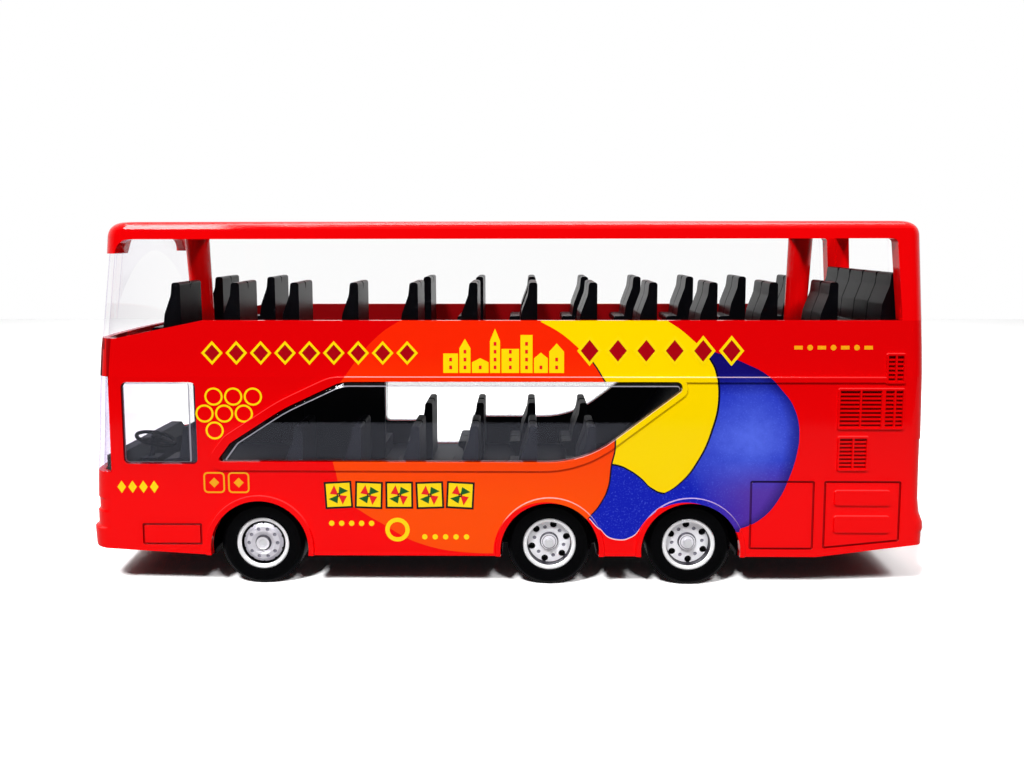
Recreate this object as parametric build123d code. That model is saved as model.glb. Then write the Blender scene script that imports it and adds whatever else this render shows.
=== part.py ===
"""A die-cast toy: an open-top three-axle sightseeing double-decker bus, about 19 cm long.

Millimetres. +Z is up, the front of the bus points along -X, its left side is at -Y, and the origin
lies on the ground below the middle of the bus.
"""
import os
from math import atan2, cos, degrees, hypot, pi, radians, sin, sqrt, tan

from build123d import *

LEFT, RIGHT = -1, 1             # the sides of the bus, as the sign of Y
FRONT, REAR = -1, 1             # its ends, as the sign of X
FAR = 130.0                     # cutters reach this far, beyond every side of the bus

# ------------------------------------------------------------------ body shell
WALL = 1.4                      # thickness of the die-cast walls
BODY_BOTTOM = 7.3               # lower edge of the sides between the axles
WAIST = 47.2                    # the sides stand upright up to this height
WALL_TOP = 59.4                 # upper edge of the sides, at the upper deck
WALL_LEAN = 0.6                 # the sides lean in by this much from the waist to their upper edge
ROOF_LEAN = 1.0                 # and by this much more up to the top of the roof frame
HALF_WIDTH = 24.7               # of the sides, up to the waist
HALF_WIDTH_TOP = HALF_WIDTH - WALL_LEAN
HALF_WIDTH_ROOF = HALF_WIDTH_TOP - ROOF_LEAN
INNER = HALF_WIDTH - WALL
FRONT_PLAN_RADIUS = 160.0       # the front is bowed in plan
REAR_PLAN_RADIUS = 400.0
FRONT_CORNER = 4.5
REAR_CORNER = 3.0
FRONT_TOP_X = -89.5             # foremost and rearmost points at WALL_TOP
REAR_TOP_X = 91.2

# The outer shape: height, foremost point, rearmost point.
BODY_PROFILE = [
    (BODY_BOTTOM, -92.3, 92.0),
    (BODY_BOTTOM + 0.8, -92.9, 92.6),
    (BODY_BOTTOM + 2.1, -93.2, 92.8),
    (12.6, -93.35, 92.85),      # the front bumper
    (13.2, -93.35, 93.1),
    (13.5, -92.5, 93.15),       # the rear bumper
    (14.9, -92.5, 93.0),
    (16.9, -92.5, 92.2),
    (17.4, -92.1, 92.1),        # a shallow band runs round the front
    (19.6, -92.1, 91.85),
    (20.1, -92.35, 91.8),
    (24.7, -92.15, 91.7),
    (33.2, -91.6, 91.65),
    (33.6, -91.6, 91.85),       # the rear is set back a little below this
    (WAIST, -90.75, 91.6),
    (WALL_TOP - 6.3, -90.3, 91.45),
    (WALL_TOP, FRONT_TOP_X, REAR_TOP_X),
]
# The same shape without its bands: the inside of the walls and the windows follow it.
CORE_PROFILE = [
    (BODY_BOTTOM, -92.2, 91.6),
    (24.7, -92.15, 91.7),
    (WAIST, -90.75, 91.6),
    (WALL_TOP, FRONT_TOP_X, REAR_TOP_X),
]
BODY_FRONT_TOP = 55.5           # the sides slope down to this height at the front
SLOPE_START_X = -65.5
SLOPE_END_X = -84.5
REAR_TOP_BEVEL = 0.8
# Where the lower edge starts to rise, where the rise ends, and the height there.
FRONT_OVERHANG_BOTTOM = (-64.0, -90.0, 8.9)
REAR_OVERHANG_BOTTOM = (68.6, 89.6, 10.0)

# ------------------------------------------------------------------ wheels
AXLE_X = {"front": -53.9, "middle": 10.1, "rear": 41.0}
TYRE_RADIUS = 9.26
TYRE_WIDTH = 6.8
TYRE_SHOULDER = 0.8
RIM_RADIUS = 5.9
RIM_FIT = 0.02                  # a tyre's bore and a rim's bore are this much larger in radius
TYRE_GAP = 0.5                  # between the outer side of a tyre and the inside of the wall
AXLE_RADIUS = 0.9
AXLE_CLEARANCE = 0.08
AXLE_SETBACK = 0.3              # the pins end this far inside the tyres' outer sides
ARCH_RADIUS = 10.85
ARCH_LIP = 1.25
ARCH_DROP = {"front": 0.45, "middle": 0.75, "rear": 0.75}       # how far the arches' centres lie below the axles

# ------------------------------------------------------------------ windows
GLASS = 1.1
GLASS_CLEARANCE = 0.05
BEVEL_DEPTH = 0.4
WINDOW_BOTTOM = 28.4
WINDOW_TOP = 46.2
WINDSCREEN_BOTTOM = 26.0
WINDSCREEN_TOP = WAIST
WINDSCREEN_WRAP_X = -86.2
MIDDLE_DOOR = (-20.3, -9.5, 20.9)               # x0, x1, lower edge of its glass
RIGHT_WINDOW_FRONT_X = -33.5
RIGHT_WINDOW_DROP = 1.2         # the right window reaches this much lower ahead of the middle door
REAR_FOOT_X = 17.7              # rear end of the long windows, at their lower edge
REAR_SLOPE = tan(radians(37.1))                 # and the slope of their rear edge

# ------------------------------------------------------------------ details of the walls
RELIEF = 0.4                    # height of the raised lips, frames and bars
SOFT_EDGE = 0.15                # their sides lean by this much either way
SINK = 0.4                      # depth of the seams and slots
SEAM = 0.48                     # width of the seams
WAIST_BEAD = (-30.0, 82.6, 46.0, 47.3, 0.5)     # x0, x1, z0, z1, corner radius
RAISED_BARS = [(71.95, 84.2, 18.9, 22.45, 0.7), (71.95, 84.2, 12.8, 16.75, 0.7)]
# Louvred vents on both sides: x0, x1, z0, z1, their upright bars as x and width, number of slots.
VENTS = [
    (72.05, 86.5, 35.75, 44.9, [(77.0, 0.35), (81.85, 0.8), (84.3, 0.35)], 9),
    (72.25, 79.1, 26.6, 34.4, [(75.7, 0.35)], 8),
    (82.15, 86.45, 45.8, 52.45, [(84.35, 0.35)], 6),
]
VENT_FRAME = 0.5                # width of their frames
SLOT_SHARE = 0.52               # of the pitch, the rest is slat
# Seams round hatches and doors: x and z of the corners, with the corner radius.
HATCHES = [
    [(53.75, 8.95, 0.5), (53.75, 24.4, 0.5), (67.8, 24.4, 0.5), (67.8, 8.95, 0.5)],
    [(69.8, 9.15, 0.5), (69.8, 24.4, 0.5), (86.5, 24.4, 0.5), (86.5, 10.9, 0.5)],
]
FRONT_HATCH = [(-79.9, 9.6, 0.4), (-79.9, 14.5, 0.4), (-66.65, 14.5, 0.4), (-66.65, 9.6, 0.4)]
FRONT_DOOR = [(-84.6, -20.0, 0.5), (-84.6, WINDOW_TOP + 0.6, 1.6), (-67.4, WINDOW_TOP + 0.6, 1.6), (-67.4, -20.0, 0.5)]

# Details of the ends: y0, y1, z0, z1, corner radius.
SIGN_RECESS = (-15.0, 15.0, 48.8, 54.2, 0.6)
FRONT_PLATE = (-6.5, 6.5, 9.9, 12.4, 0.3)
REAR_PLATE = (-6.5, 6.5, 35.2, 37.9, 0.3)
GRILLE_SLOTS = [(-9.5, 9.5, z, z + 0.8, 0.35) for z in (20.7, 22.1, 23.5)]
ENGINE_COVER = (-16.2, 16.2, 15.6, 32.6, 0.8)
ENGINE_SLOTS = [(-12.5, 12.5, 18.6 + 1.7 * index, 19.4 + 1.7 * index, 0.35) for index in range(7)]
# Lamps, on both sides of the middle: |y|0, |y|1, z0, z1, corner radius.
HEAD_LAMPS = [(12.6, 16.0, 20.6, 24.2, 1.2), (16.5, 19.8, 20.6, 24.2, 1.2)]
TAIL_LAMPS = [(18.0, 21.0, z, z + 3.0, 1.45) for z in (20.9, 24.9, 28.9)]
LAMP_RELIEF = 0.2
LAMP_DEPTH = 1.0
LAMP_CLEARANCE = 0.05

# ------------------------------------------------------------------ decks and seats
LOWER_FLOOR_TOP = 20.8
FLOOR = 1.2
UPPER_FLOOR_TOP = 52.9
UPPER_FLOOR_BOTTOM = UPPER_FLOOR_TOP - FLOOR
DECK_CLEARANCE = 0.1
BULKHEAD = (30.0, 46.0, 48.0, WINDOW_TOP - 2.2, INNER - 1.3)        # foot x, head x, rear x, height, half width
SEAT_PITCH = 13.15
SEAT_FIRST_X = -71.5            # rear face of the first bench's back
SEAT_ROWS = 12
CUSHION_HEIGHT = 4.6            # above the floor
SEAT_HEIGHT = 14.5              # above the floor
AISLE = 14.8
BENCH_INNER_Y = AISLE / 2
BENCH_OUTER_Y = HALF_WIDTH_TOP - WALL - 2.8
SEAT_DEPTH = 6.6
SEAT_GROOVE = 0.4               # width and depth of the seam between two seats
SEAT_NOTCH = (1.3, 1.8)         # width and depth of the notch at its top
REAR_BENCH_X = 86.4
REAR_BENCH_RISE = 2.1           # the rear bench stands this much taller
STAIR_ROWS = (2, 3)             # benches that the stair replaces, on the right
LOWER_LEFT_ROWS = (2, 3, 4, 5, 6, 7)
LOWER_RIGHT_ROWS = (4, 5, 6, 7)
STEPS = 8
STAIR_FOOT_X = -31.0
STAIR_TOP_X = SEAT_FIRST_X + STAIR_ROWS[0] * SEAT_PITCH - SEAT_DEPTH
STAIR_PANEL = 0.8
STAIR_WELL = (STAIR_TOP_X, STAIR_FOOT_X - 1.2, BENCH_INNER_Y + 0.6, BENCH_OUTER_Y - 0.3)
WHEEL_CENTRE = (-81.6, -12.0, 30.5)     # of the steering wheel
STEERING_RADIUS = 4.3
STEERING_RIM = 0.45
STEERING_TILT = 17.0
COLUMN_RADIUS = 0.7
DRIVER_SEAT = (-72.8, 8.5, 15.5)        # x of its back's foot, |y|0, |y|1
DASH_FRONT_X = -88.6
DASH_SIDES = (1.8 - INNER, 14.0)
POST_RADIUS_TOP = 2.8
POST_RADIUS_FOOT = 2.5
POSTS = {"front": (-74.75, -73.7), "rear": (70.9, 69.9)}      # x at the top and at the foot

# ------------------------------------------------------------------ roof frame
ROOF_TOP = 80.7
ROOF_FRONT_X = -88.0            # foremost and rearmost points at ROOF_TOP
ROOF_REAR_X = 90.15
RAIL = 3.4                      # width of the roof frame's rails
RAIL_BOTTOM = ROOF_TOP - 3.75
FRONT_RAIL_BOTTOM = RAIL_BOTTOM - 3.1
RAIL_ROUND = (3.2, 3.0, 1.7)    # radii of its upper edges at the front, the rear and the sides
ROUND_STEPS = 9
PILLAR_FOOT_X = 85.55           # front edge of the rear pillars at WALL_TOP
PILLAR_HEAD_X = 84.15           # and below the rail
HEADER_LEG_X = -83.7            # rear edge of the header's short legs
HEADER_LEG_Y = 4.6              # width of the legs across the front
HEADER_ROUND = 3.0              # corners of the opening between them
CROSS_BAR = (5.6, 2.2)          # width and height

# ------------------------------------------------------------------ upper glazing
PANE_FRONT_X = -85.3            # behind this the side panes step in behind the walls
PANE_HEAD_X = -87.2             # the front pane leans back to here at ROOF_TOP
PANE_INSET = WALL + DECK_CLEARANCE
PANE_FOOT = 1.8                 # the side panes reach this far down inside the walls
PANE_REAR_GAP = 1.5             # and end this far ahead of the rear pillars
FLANGE = (1.8, 0.5)             # height and thickness of their thicker upper edge
STEP_INNER_Y = HALF_WIDTH_ROOF - 2.1             # the step between front and side panes starts here

# ------------------------------------------------------------------ chassis
PLATE = 1.1
PLATE_BOTTOM = 7.0
PLATE_CLEARANCE = 0.15
BEARING = (2.6, 2.2)            # length of each axle bearing, and its reach fore and aft
WHEEL_POCKET = 0.6              # room beside and around the wheels
BOSS_RADIUS = 2.6
# Raised covers under the plate: x0, x1, half width, corner radius.
UNDER_COVERS = [(-84.0, -66.5, 9.5, 1.5), (54.0, 66.0, 10.0, 1.5), (71.0, 86.0, 12.0, 1.5), (21.0, 30.0, 5.0, 2.0)]
COVER_RELIEF = 0.5

os.makedirs("parts", exist_ok=True)


def half_width(z):
    """Half width of the body at a height."""
    return HALF_WIDTH - WALL_LEAN * max(0, z - WAIST) / (WALL_TOP - WAIST)


def with_widths(profile):
    return [(z, nose, tail, half_width(z)) for z, nose, tail in profile]


def shoulder(z, radius):
    """How far a rounded upper edge has drawn in at a height."""
    rise = max(0, z - (ROOF_TOP - radius))
    return radius - sqrt(max(0, radius ** 2 - rise ** 2))


def rounded_roof():
    """Sections of the roof frame, with rounded upper edges."""
    front, rear, sides = RAIL_ROUND
    largest = max(RAIL_ROUND)
    heights = [ROOF_TOP - largest * (1 - sin(pi / 2 * step / ROUND_STEPS)) for step in range(ROUND_STEPS + 1)]
    sections = []
    for z in [WALL_TOP] + heights:
        share = (z - WALL_TOP) / (ROOF_TOP - WALL_TOP)
        nose = FRONT_TOP_X + share * (ROOF_FRONT_X - FRONT_TOP_X) + shoulder(z, front)
        tail = REAR_TOP_X + share * (ROOF_REAR_X - REAR_TOP_X) - shoulder(z, rear)
        half = HALF_WIDTH_TOP - share * ROOF_LEAN - shoulder(z, sides)
        sections.append((z, nose, tail, half))
    return sections


# Sections: height, foremost point, rearmost point, half width.
BODY_SECTIONS = with_widths(BODY_PROFILE)
CORE_SECTIONS = with_widths(CORE_PROFILE)
ROOF_CORE = [CORE_SECTIONS[-1], (ROOF_TOP, ROOF_FRONT_X, ROOF_REAR_X, HALF_WIDTH_ROOF)]
GLASS_SECTIONS = CORE_SECTIONS[-2:] + [(ROOF_TOP, PANE_HEAD_X, ROOF_REAR_X, HALF_WIDTH_ROOF)]


def box(x0, x1, y0, y1, z0, z1):
    return Pos((x0 + x1) / 2, (y0 + y1) / 2, (z0 + z1) / 2) * Box(x1 - x0, y1 - y0, z1 - z0)


def plan_face(z, nose, tail, half_width, inset=0.0):
    """One horizontal section of the bus: bowed ends, rounded corners and straight sides."""
    half = half_width - inset
    ends = []
    for sign, tip, radius, corner in (
        (FRONT, nose + inset, FRONT_PLAN_RADIUS - inset, FRONT_CORNER - inset),
        (REAR, tail - inset, REAR_PLAN_RADIUS - inset, REAR_CORNER - inset),
    ):
        corner = max(corner, 0.3)
        bow_x = tip - sign * radius
        reach = sqrt((radius - corner) ** 2 - (half - corner) ** 2)
        corner_x = bow_x + sign * reach
        angle = atan2(half - corner, reach)
        ends.append((sign, tip, bow_x, radius, corner_x, corner, angle))
    edges = []
    for sign, tip, bow_x, radius, corner_x, corner, angle in ends:
        bow_end = (bow_x + sign * radius * cos(angle), radius * sin(angle))
        half_angle = (angle + pi / 2) / 2
        mid = (corner_x + sign * corner * cos(half_angle), half - corner + corner * sin(half_angle))
        edges.append(ThreePointArc((bow_end[0], -bow_end[1]), (tip, 0), bow_end))
        edges.append(ThreePointArc(bow_end, mid, (corner_x, half)))
        edges.append(ThreePointArc((bow_end[0], -bow_end[1]), (mid[0], -mid[1]), (corner_x, -half)))
    front_x, rear_x = ends[0][4], ends[1][4]
    edges.append(Line((front_x, half), (rear_x, half)))
    edges.append(Line((front_x, -half), (rear_x, -half)))
    return Pos(0, 0, z) * Face(Wire(edges))


def hull(sections, inset=0.0):
    """The solid through a table of sections, moved inwards by inset."""
    return loft([plan_face(*row, inset) for row in sections], ruled=True)


def skin(sections, outer, inner):
    """The layer of a hull between two insets."""
    return hull(sections, outer) - hull(sections, inner)


# An outline is a list of corners, each with its corner radius. Side views list x and z, end views y and z.
def rectangle(u0, u1, v0, v1, corner):
    return [(u0, v0, corner), (u0, v1, corner), (u1, v1, corner), (u1, v0, corner)]


def grown(outline, amounts):
    """The outline with each edge moved outwards by its own amount; edge 0 leads from corner 0 to corner 1."""
    count = len(outline)
    if not isinstance(amounts, (list, tuple)):
        amounts = [amounts] * count
    area = sum(outline[i - 1][0] * outline[i][1] - outline[i][0] * outline[i - 1][1] for i in range(count))
    turn = 1 if area > 0 else -1
    lines = []
    for i, amount in enumerate(amounts):
        u0, v0, _ = outline[i]
        u1, v1, _ = outline[(i + 1) % count]
        length = hypot(u1 - u0, v1 - v0)
        du, dv = (u1 - u0) / length, (v1 - v0) / length
        lines.append((u0 + turn * amount * dv, v0 - turn * amount * du, du, dv))
    corners = []
    for i, (_, _, radius) in enumerate(outline):
        ua, va, dua, dva = lines[i - 1]
        ub, vb, dub, dvb = lines[i]
        cross = dua * dvb - dva * dub
        along = ((ub - ua) * dvb - (vb - va) * dub) / cross
        change = (amounts[i - 1] + amounts[i]) / 2
        outwards = 1 if cross * turn > 0 else -1
        corners.append((ua + along * dua, va + along * dva, max(radius + outwards * change, 0.15) if radius else 0))
    return corners


def rounded(outline):
    """The face inside an outline."""
    path = FilletPolyline(*[(u, v) for u, v, _ in outline], radius=[radius for _, _, radius in outline], close=True)
    return make_face(path)


def side_prism(outline, y0, y1):
    """A prism along Y over an outline of the side view."""
    return extrude(Pos(0, y1, 0) * (Plane.XZ * rounded(outline)), y1 - y0)


def wall_prism(outline, side, inner, outer):
    """A prism over an outline of the side view, on one side only; inner and outer are |Y|."""
    return side_prism(outline, *sorted((side * inner, side * outer)))


def end_prism(outline, x0, x1):
    """A prism along X over an outline of the end view."""
    return extrude(Pos(x0, 0, 0) * (Plane.YZ * rounded(outline)), x1 - x0)


def sharp(points):
    """An outline with sharp corners."""
    return [(u, v, 0) for u, v in points]


REAR_OF_WINDOW = [
    (REAR_FOOT_X + (WINDOW_TOP - WINDOW_BOTTOM) / REAR_SLOPE, WINDOW_TOP, 1.3),
    (REAR_FOOT_X, WINDOW_BOTTOM, 24.0),
]
LEFT_OUTLINE = [
    (-62.9, WINDOW_BOTTOM, 0.6),
    (-59.8, WINDOW_BOTTOM + 4.2, 3.0),
    (-48.0, WINDOW_TOP - 6.0, 40.0),
    (-35.2, WINDOW_TOP, 8.0),
] + REAR_OF_WINDOW
RIGHT_OUTLINE = [
    (RIGHT_WINDOW_FRONT_X, WINDOW_BOTTOM - RIGHT_WINDOW_DROP, 1.2),
    (RIGHT_WINDOW_FRONT_X, WINDOW_TOP, 1.2),
] + REAR_OF_WINDOW + [
    (MIDDLE_DOOR[1], WINDOW_BOTTOM, 0.6),
    (MIDDLE_DOOR[1], MIDDLE_DOOR[2], 1.0),
    (MIDDLE_DOOR[0], MIDDLE_DOOR[2], 1.0),
    (MIDDLE_DOOR[0], WINDOW_BOTTOM - RIGHT_WINDOW_DROP, 0.6),
]
# Windows of the sides: side, outline, bevel of each edge, raised lip of each edge.
WINDOWS = {
    "left_window": (LEFT, LEFT_OUTLINE, (1.5, 1.05, 1.05, 1.1, 0.3, 0.3), (2.0, 2.0, 2.0, 1.1, 1.3, 2.0)),
    "right_window": (RIGHT, RIGHT_OUTLINE, (0.5, 1.1, 0.3, 0.3, 0.3, 0.3, 0.3, 0.3),
                     (1.3, 1.1, 1.3, 2.0, 1.3, 1.3, 1.3, 2.0)),
    "driver_window": (LEFT, rectangle(-83.4, -67.1, 27.8, 46.0, 1.2), (0.5, 0.35, 1.6, 0.6), None),
    "door_window": (RIGHT, rectangle(-83.4, -68.6, 27.8, 46.0, 1.2), (0.5, 0.35, 0.5, 0.6), None),
}
MIDDLE_DOOR_SEAM = rectangle(MIDDLE_DOOR[0] - 1.6, MIDDLE_DOOR[1] + 1.6, -20.0, MIDDLE_DOOR[2] + 6.0, 0.5)
SEAMS = {
    LEFT: HATCHES + [FRONT_HATCH],
    RIGHT: HATCHES + [FRONT_DOOR, MIDDLE_DOOR_SEAM],
}
ARCH_CENTRES = [(x, TYRE_RADIUS - ARCH_DROP[name]) for name, x in AXLE_X.items()]
BODY_TOP_CUT = sharp([
    (SLOPE_START_X, WALL_TOP), (SLOPE_END_X, BODY_FRONT_TOP), (-FAR, BODY_FRONT_TOP), (-FAR, FAR), (FAR, FAR),
    (FAR, WALL_TOP - FAR + REAR_TOP_X - REAR_TOP_BEVEL), (REAR_TOP_X - REAR_TOP_BEVEL, WALL_TOP),
])


def arch(radius, side, inner, outer):
    low, high = sorted((side * inner, side * outer))
    return [Pos(x, (low + high) / 2, z) * Rot(90, 0, 0) * Cylinder(radius, high - low) for x, z in ARCH_CENTRES]


def pad(outline, side):
    """A raised area with soft edges on a side wall."""
    faces = []
    for step in (-1, 1):
        sketch = rounded(grown(outline, -step * SOFT_EDGE))
        faces.append(Pos(0, side * (HALF_WIDTH + step * RELIEF), 0) * (Plane.XZ * sketch))
    return loft(faces, ruled=True)


def arch_lip(x, z, side):
    radius = ARCH_RADIUS + ARCH_LIP
    cone = Cone(radius + SOFT_EDGE, radius - SOFT_EDGE, 2 * RELIEF)
    return Pos(x, side * HALF_WIDTH, z) * Rot(-90 * side, 0, 0) * cone


def vent_frame(row, side):
    x0, x1, z0, z1, _, _ = row
    return pad(rectangle(x0, x1, z0, z1, 0.5), side)


def vent_slots(row, side):
    """Everything that is cut from a vent's frame: its panels between the bars, and the slots in them."""
    x0, x1, z0, z1, bars, slots = row
    pitch = (z1 - z0 - 2 * VENT_FRAME) / slots
    lefts = [x0 + VENT_FRAME] + [x + width / 2 for x, width in bars]
    rights = [x - width / 2 for x, width in bars] + [x1 - VENT_FRAME]
    cuts = []
    for left, right in zip(lefts, rights):
        y0, y1 = sorted((side * HALF_WIDTH, side * (HALF_WIDTH + 1)))
        cuts.append(box(left, right, y0, y1, z0 + VENT_FRAME, z1 - VENT_FRAME))
        y0, y1 = sorted((side * (HALF_WIDTH - SINK), side * (HALF_WIDTH + 1)))
        for index in range(slots):
            low = z0 + VENT_FRAME + (index + 0.5 - SLOT_SHARE / 2) * pitch
            cuts.append(box(left, right, y0, y1, low, low + SLOT_SHARE * pitch))
    return cuts


def leaning(shapes, row, side):
    """Tilts a vent's shapes with the wall above the waist."""
    if row[3] < WAIST:
        return shapes
    axis = Axis((0, side * HALF_WIDTH, WAIST), (side, 0, 0))
    angle = degrees(atan2(WALL_LEAN, WALL_TOP - WAIST))
    return [shape.rotate(axis, angle) for shape in shapes]


def seam(outline, side):
    reach = (side, HALF_WIDTH - SINK, HALF_WIDTH + 1)
    return wall_prism(outline, *reach) - wall_prism(grown(outline, -SEAM), *reach)


def raised_on(side):
    pads = [pad(rectangle(*bar), side) for bar in [WAIST_BEAD] + RAISED_BARS]
    pads += [pad(grown(outline, lip), side) for at, outline, bevel, lip in WINDOWS.values() if at == side and lip]
    pads += [arch_lip(x, z, side) for x, z in ARCH_CENTRES]
    for row in VENTS:
        pads += leaning([vent_frame(row, side)], row, side)
    return pads


def cut_from(side):
    cuts = [seam(outline, side) for outline in SEAMS[side]]
    cuts += [wall_prism(outline, side, INNER - WALL, FAR) for at, outline, _, _ in WINDOWS.values() if at == side]
    cuts += arch(ARCH_RADIUS, side, INNER - WALL, HALF_WIDTH + WALL)
    for row in VENTS:
        cuts += leaning(vent_slots(row, side), row, side)
    return cuts


def lamp_prisms(rows, end, grow=0.0):
    """Prisms over a table of lamps at one end, on both sides of the middle."""
    x0, x1 = sorted((end * (FAR - 50), end * FAR))
    outlines = [rectangle(*sorted((side * y0, side * y1)), z0, z1, corner)
                for y0, y1, z0, z1, corner in rows for side in (LEFT, RIGHT)]
    return [end_prism(grown(outline, grow), x0, x1) for outline in outlines]


def sunk_at(end, rows):
    """Shallow recesses in one end of the body."""
    x0, x1 = sorted((end * (FAR - 50), end * FAR))
    return [end_prism(rectangle(*row), x0, x1) for row in rows]


def make_body_shell():
    body = hull(BODY_SECTIONS)
    for side in (LEFT, RIGHT):
        body += raised_on(side)
    cuts = sunk_at(FRONT, [SIGN_RECESS, FRONT_PLATE] + GRILLE_SLOTS) + sunk_at(REAR, [REAR_PLATE] + ENGINE_SLOTS)
    cover = rectangle(*ENGINE_COVER)
    cuts.append(end_prism(cover, FAR - 50, FAR) - end_prism(grown(cover, -SEAM), FAR - 50, FAR))
    sunk = Compound(children=cuts) - hull(BODY_SECTIONS, SINK)
    body -= sunk
    body -= hull(CORE_SECTIONS, WALL)
    for side in (LEFT, RIGHT):
        body -= cut_from(side)
    body -= box(-FAR, WINDSCREEN_WRAP_X, -FAR, FAR, WINDSCREEN_BOTTOM, WINDSCREEN_TOP)
    body -= lamp_prisms(HEAD_LAMPS, FRONT, LAMP_CLEARANCE) + lamp_prisms(TAIL_LAMPS, REAR, LAMP_CLEARANCE)
    body -= side_prism(BODY_TOP_CUT, -FAR, FAR)
    body -= box(-FAR, FAR, -FAR, FAR, -FAR, BODY_BOTTOM)
    for start_x, end_x, end_z in (FRONT_OVERHANG_BOTTOM, REAR_OVERHANG_BOTTOM):
        far_x = FAR if end_x > 0 else -FAR
        low = sharp([(start_x, BODY_BOTTOM), (end_x, end_z), (far_x, end_z), (far_x, 0), (start_x, 0)])
        body -= side_prism(low, -FAR, FAR)
    return body


def make_lamps(rows, end):
    layer = skin(BODY_SECTIONS, -LAMP_RELIEF, LAMP_DEPTH)
    return Compound(children=[layer & prism for prism in lamp_prisms(rows, end)])


PILLAR_SLOPE = (PILLAR_FOOT_X - PILLAR_HEAD_X) / (RAIL_BOTTOM - WALL_TOP)
OPENING_LOW = WALL_TOP - 10.0
# Side view of the opening below the roof frame.
ROOF_OPENING = [
    (PILLAR_FOOT_X + PILLAR_SLOPE * (WALL_TOP - OPENING_LOW), OPENING_LOW, 0), (PILLAR_HEAD_X, RAIL_BOTTOM, 1.0),
    (HEADER_LEG_X + 0.3, RAIL_BOTTOM, 3.2), (HEADER_LEG_X - 0.3, FRONT_RAIL_BOTTOM, 0.3),
    (-FAR, FRONT_RAIL_BOTTOM, 0), (-FAR, OPENING_LOW, 0),
]


def front_opening(gap=0.0):
    """The opening between the header's legs, seen from the front."""
    half = HALF_WIDTH_ROOF - HEADER_LEG_Y
    outline = [(-half, OPENING_LOW, 0), (-half, RAIL_BOTTOM, HEADER_ROUND), (half, RAIL_BOTTOM, HEADER_ROUND),
               (half, OPENING_LOW, 0)]
    return end_prism(grown(outline, -gap), -FAR, HEADER_LEG_X - 0.5)


def make_roof_frame():
    frame = hull(rounded_roof()) - hull(ROOF_CORE, RAIL)
    frame -= side_prism(ROOF_OPENING, -FAR, FAR)
    frame -= front_opening()
    half_opening = HALF_WIDTH_ROOF - RAIL
    frame -= box(PILLAR_HEAD_X - RAIL, FAR, -half_opening, half_opening, 0, RAIL_BOTTOM)
    bar_width, bar_height = CROSS_BAR
    for top_x, foot_x in POSTS.values():
        frame += box(top_x - bar_width / 2, top_x + bar_width / 2, -half_opening - 1, half_opening + 1,
                     RAIL_BOTTOM, RAIL_BOTTOM + bar_height)
    return frame


def make_roof_posts():
    posts = []
    for top_x, foot_x in POSTS.values():
        foot = Pos(foot_x, 0, UPPER_FLOOR_TOP) * Circle(POST_RADIUS_FOOT)
        top = Pos(top_x, 0, RAIL_BOTTOM) * Circle(POST_RADIUS_TOP)
        posts.append(loft([foot, top]))
    return Compound(children=posts)


def along_wall_top(drop):
    """Outline of everything below the walls' upper edge, lowered by drop."""
    return sharp([(-FAR, 0), (-FAR, BODY_FRONT_TOP - drop), (SLOPE_END_X, BODY_FRONT_TOP - drop),
                  (SLOPE_START_X, WALL_TOP - drop), (FAR, WALL_TOP - drop), (FAR, 0)])


def make_upper_glazing():
    gap = GLASS_CLEARANCE
    front = skin(GLASS_SECTIONS, gap, GLASS) - box(PANE_FRONT_X, FAR, -FAR, FAR, 0, FAR)
    step = skin(GLASS_SECTIONS, gap, PANE_INSET + GLASS)
    for side in (LEFT, RIGHT):
        y0, y1 = sorted((side * STEP_INNER_Y, side * FAR))
        front += step & box(PANE_FRONT_X - GLASS, PANE_FRONT_X, y0, y1, 0, FAR)
    front -= side_prism(along_wall_top(-gap), -FAR, FAR)
    sides = skin(GLASS_SECTIONS, PANE_INSET, PANE_INSET + GLASS)
    height, thickness = FLANGE
    below = side_prism(grown(ROOF_OPENING, (0, -height, -height, 0, 0, 0)), -FAR, FAR)
    sides += skin(GLASS_SECTIONS, PANE_INSET - thickness, PANE_INSET + GLASS) - below - box(
        -FAR, FAR, -FAR, FAR, 0, FRONT_RAIL_BOTTOM - height)
    sides -= side_prism(along_wall_top(PANE_FOOT), -FAR, FAR)
    sides -= box(-FAR, PANE_FRONT_X, -FAR, FAR, 0, FAR)
    opening = side_prism(grown(ROOF_OPENING, (-PANE_REAR_GAP, -gap, -gap, -gap, 0, 0)), -FAR, FAR)
    return (front + sides) & (opening + front_opening(gap))


def make_window(side, outline, bevel):
    """A pane that fills its window, with a bevelled outer face."""
    base = grown(outline, -GLASS_CLEARANCE)
    top = grown(base, [-width for width in bevel])
    shoulder_y = HALF_WIDTH - BEVEL_DEPTH
    pane = wall_prism(base, side, INNER + DECK_CLEARANCE, shoulder_y)
    faces = [Pos(0, side * y, 0) * (Plane.XZ * rounded(shape)) for y, shape in ((shoulder_y, base), (HALF_WIDTH, top))]
    return pane + loft(faces, ruled=True)


def make_windscreen():
    return skin(CORE_SECTIONS, GLASS_CLEARANCE, GLASS) & box(
        -FAR, WINDSCREEN_WRAP_X - GLASS_CLEARANCE, -FAR, FAR,
        WINDSCREEN_BOTTOM + GLASS_CLEARANCE, WINDSCREEN_TOP - GLASS_CLEARANCE)


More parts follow.
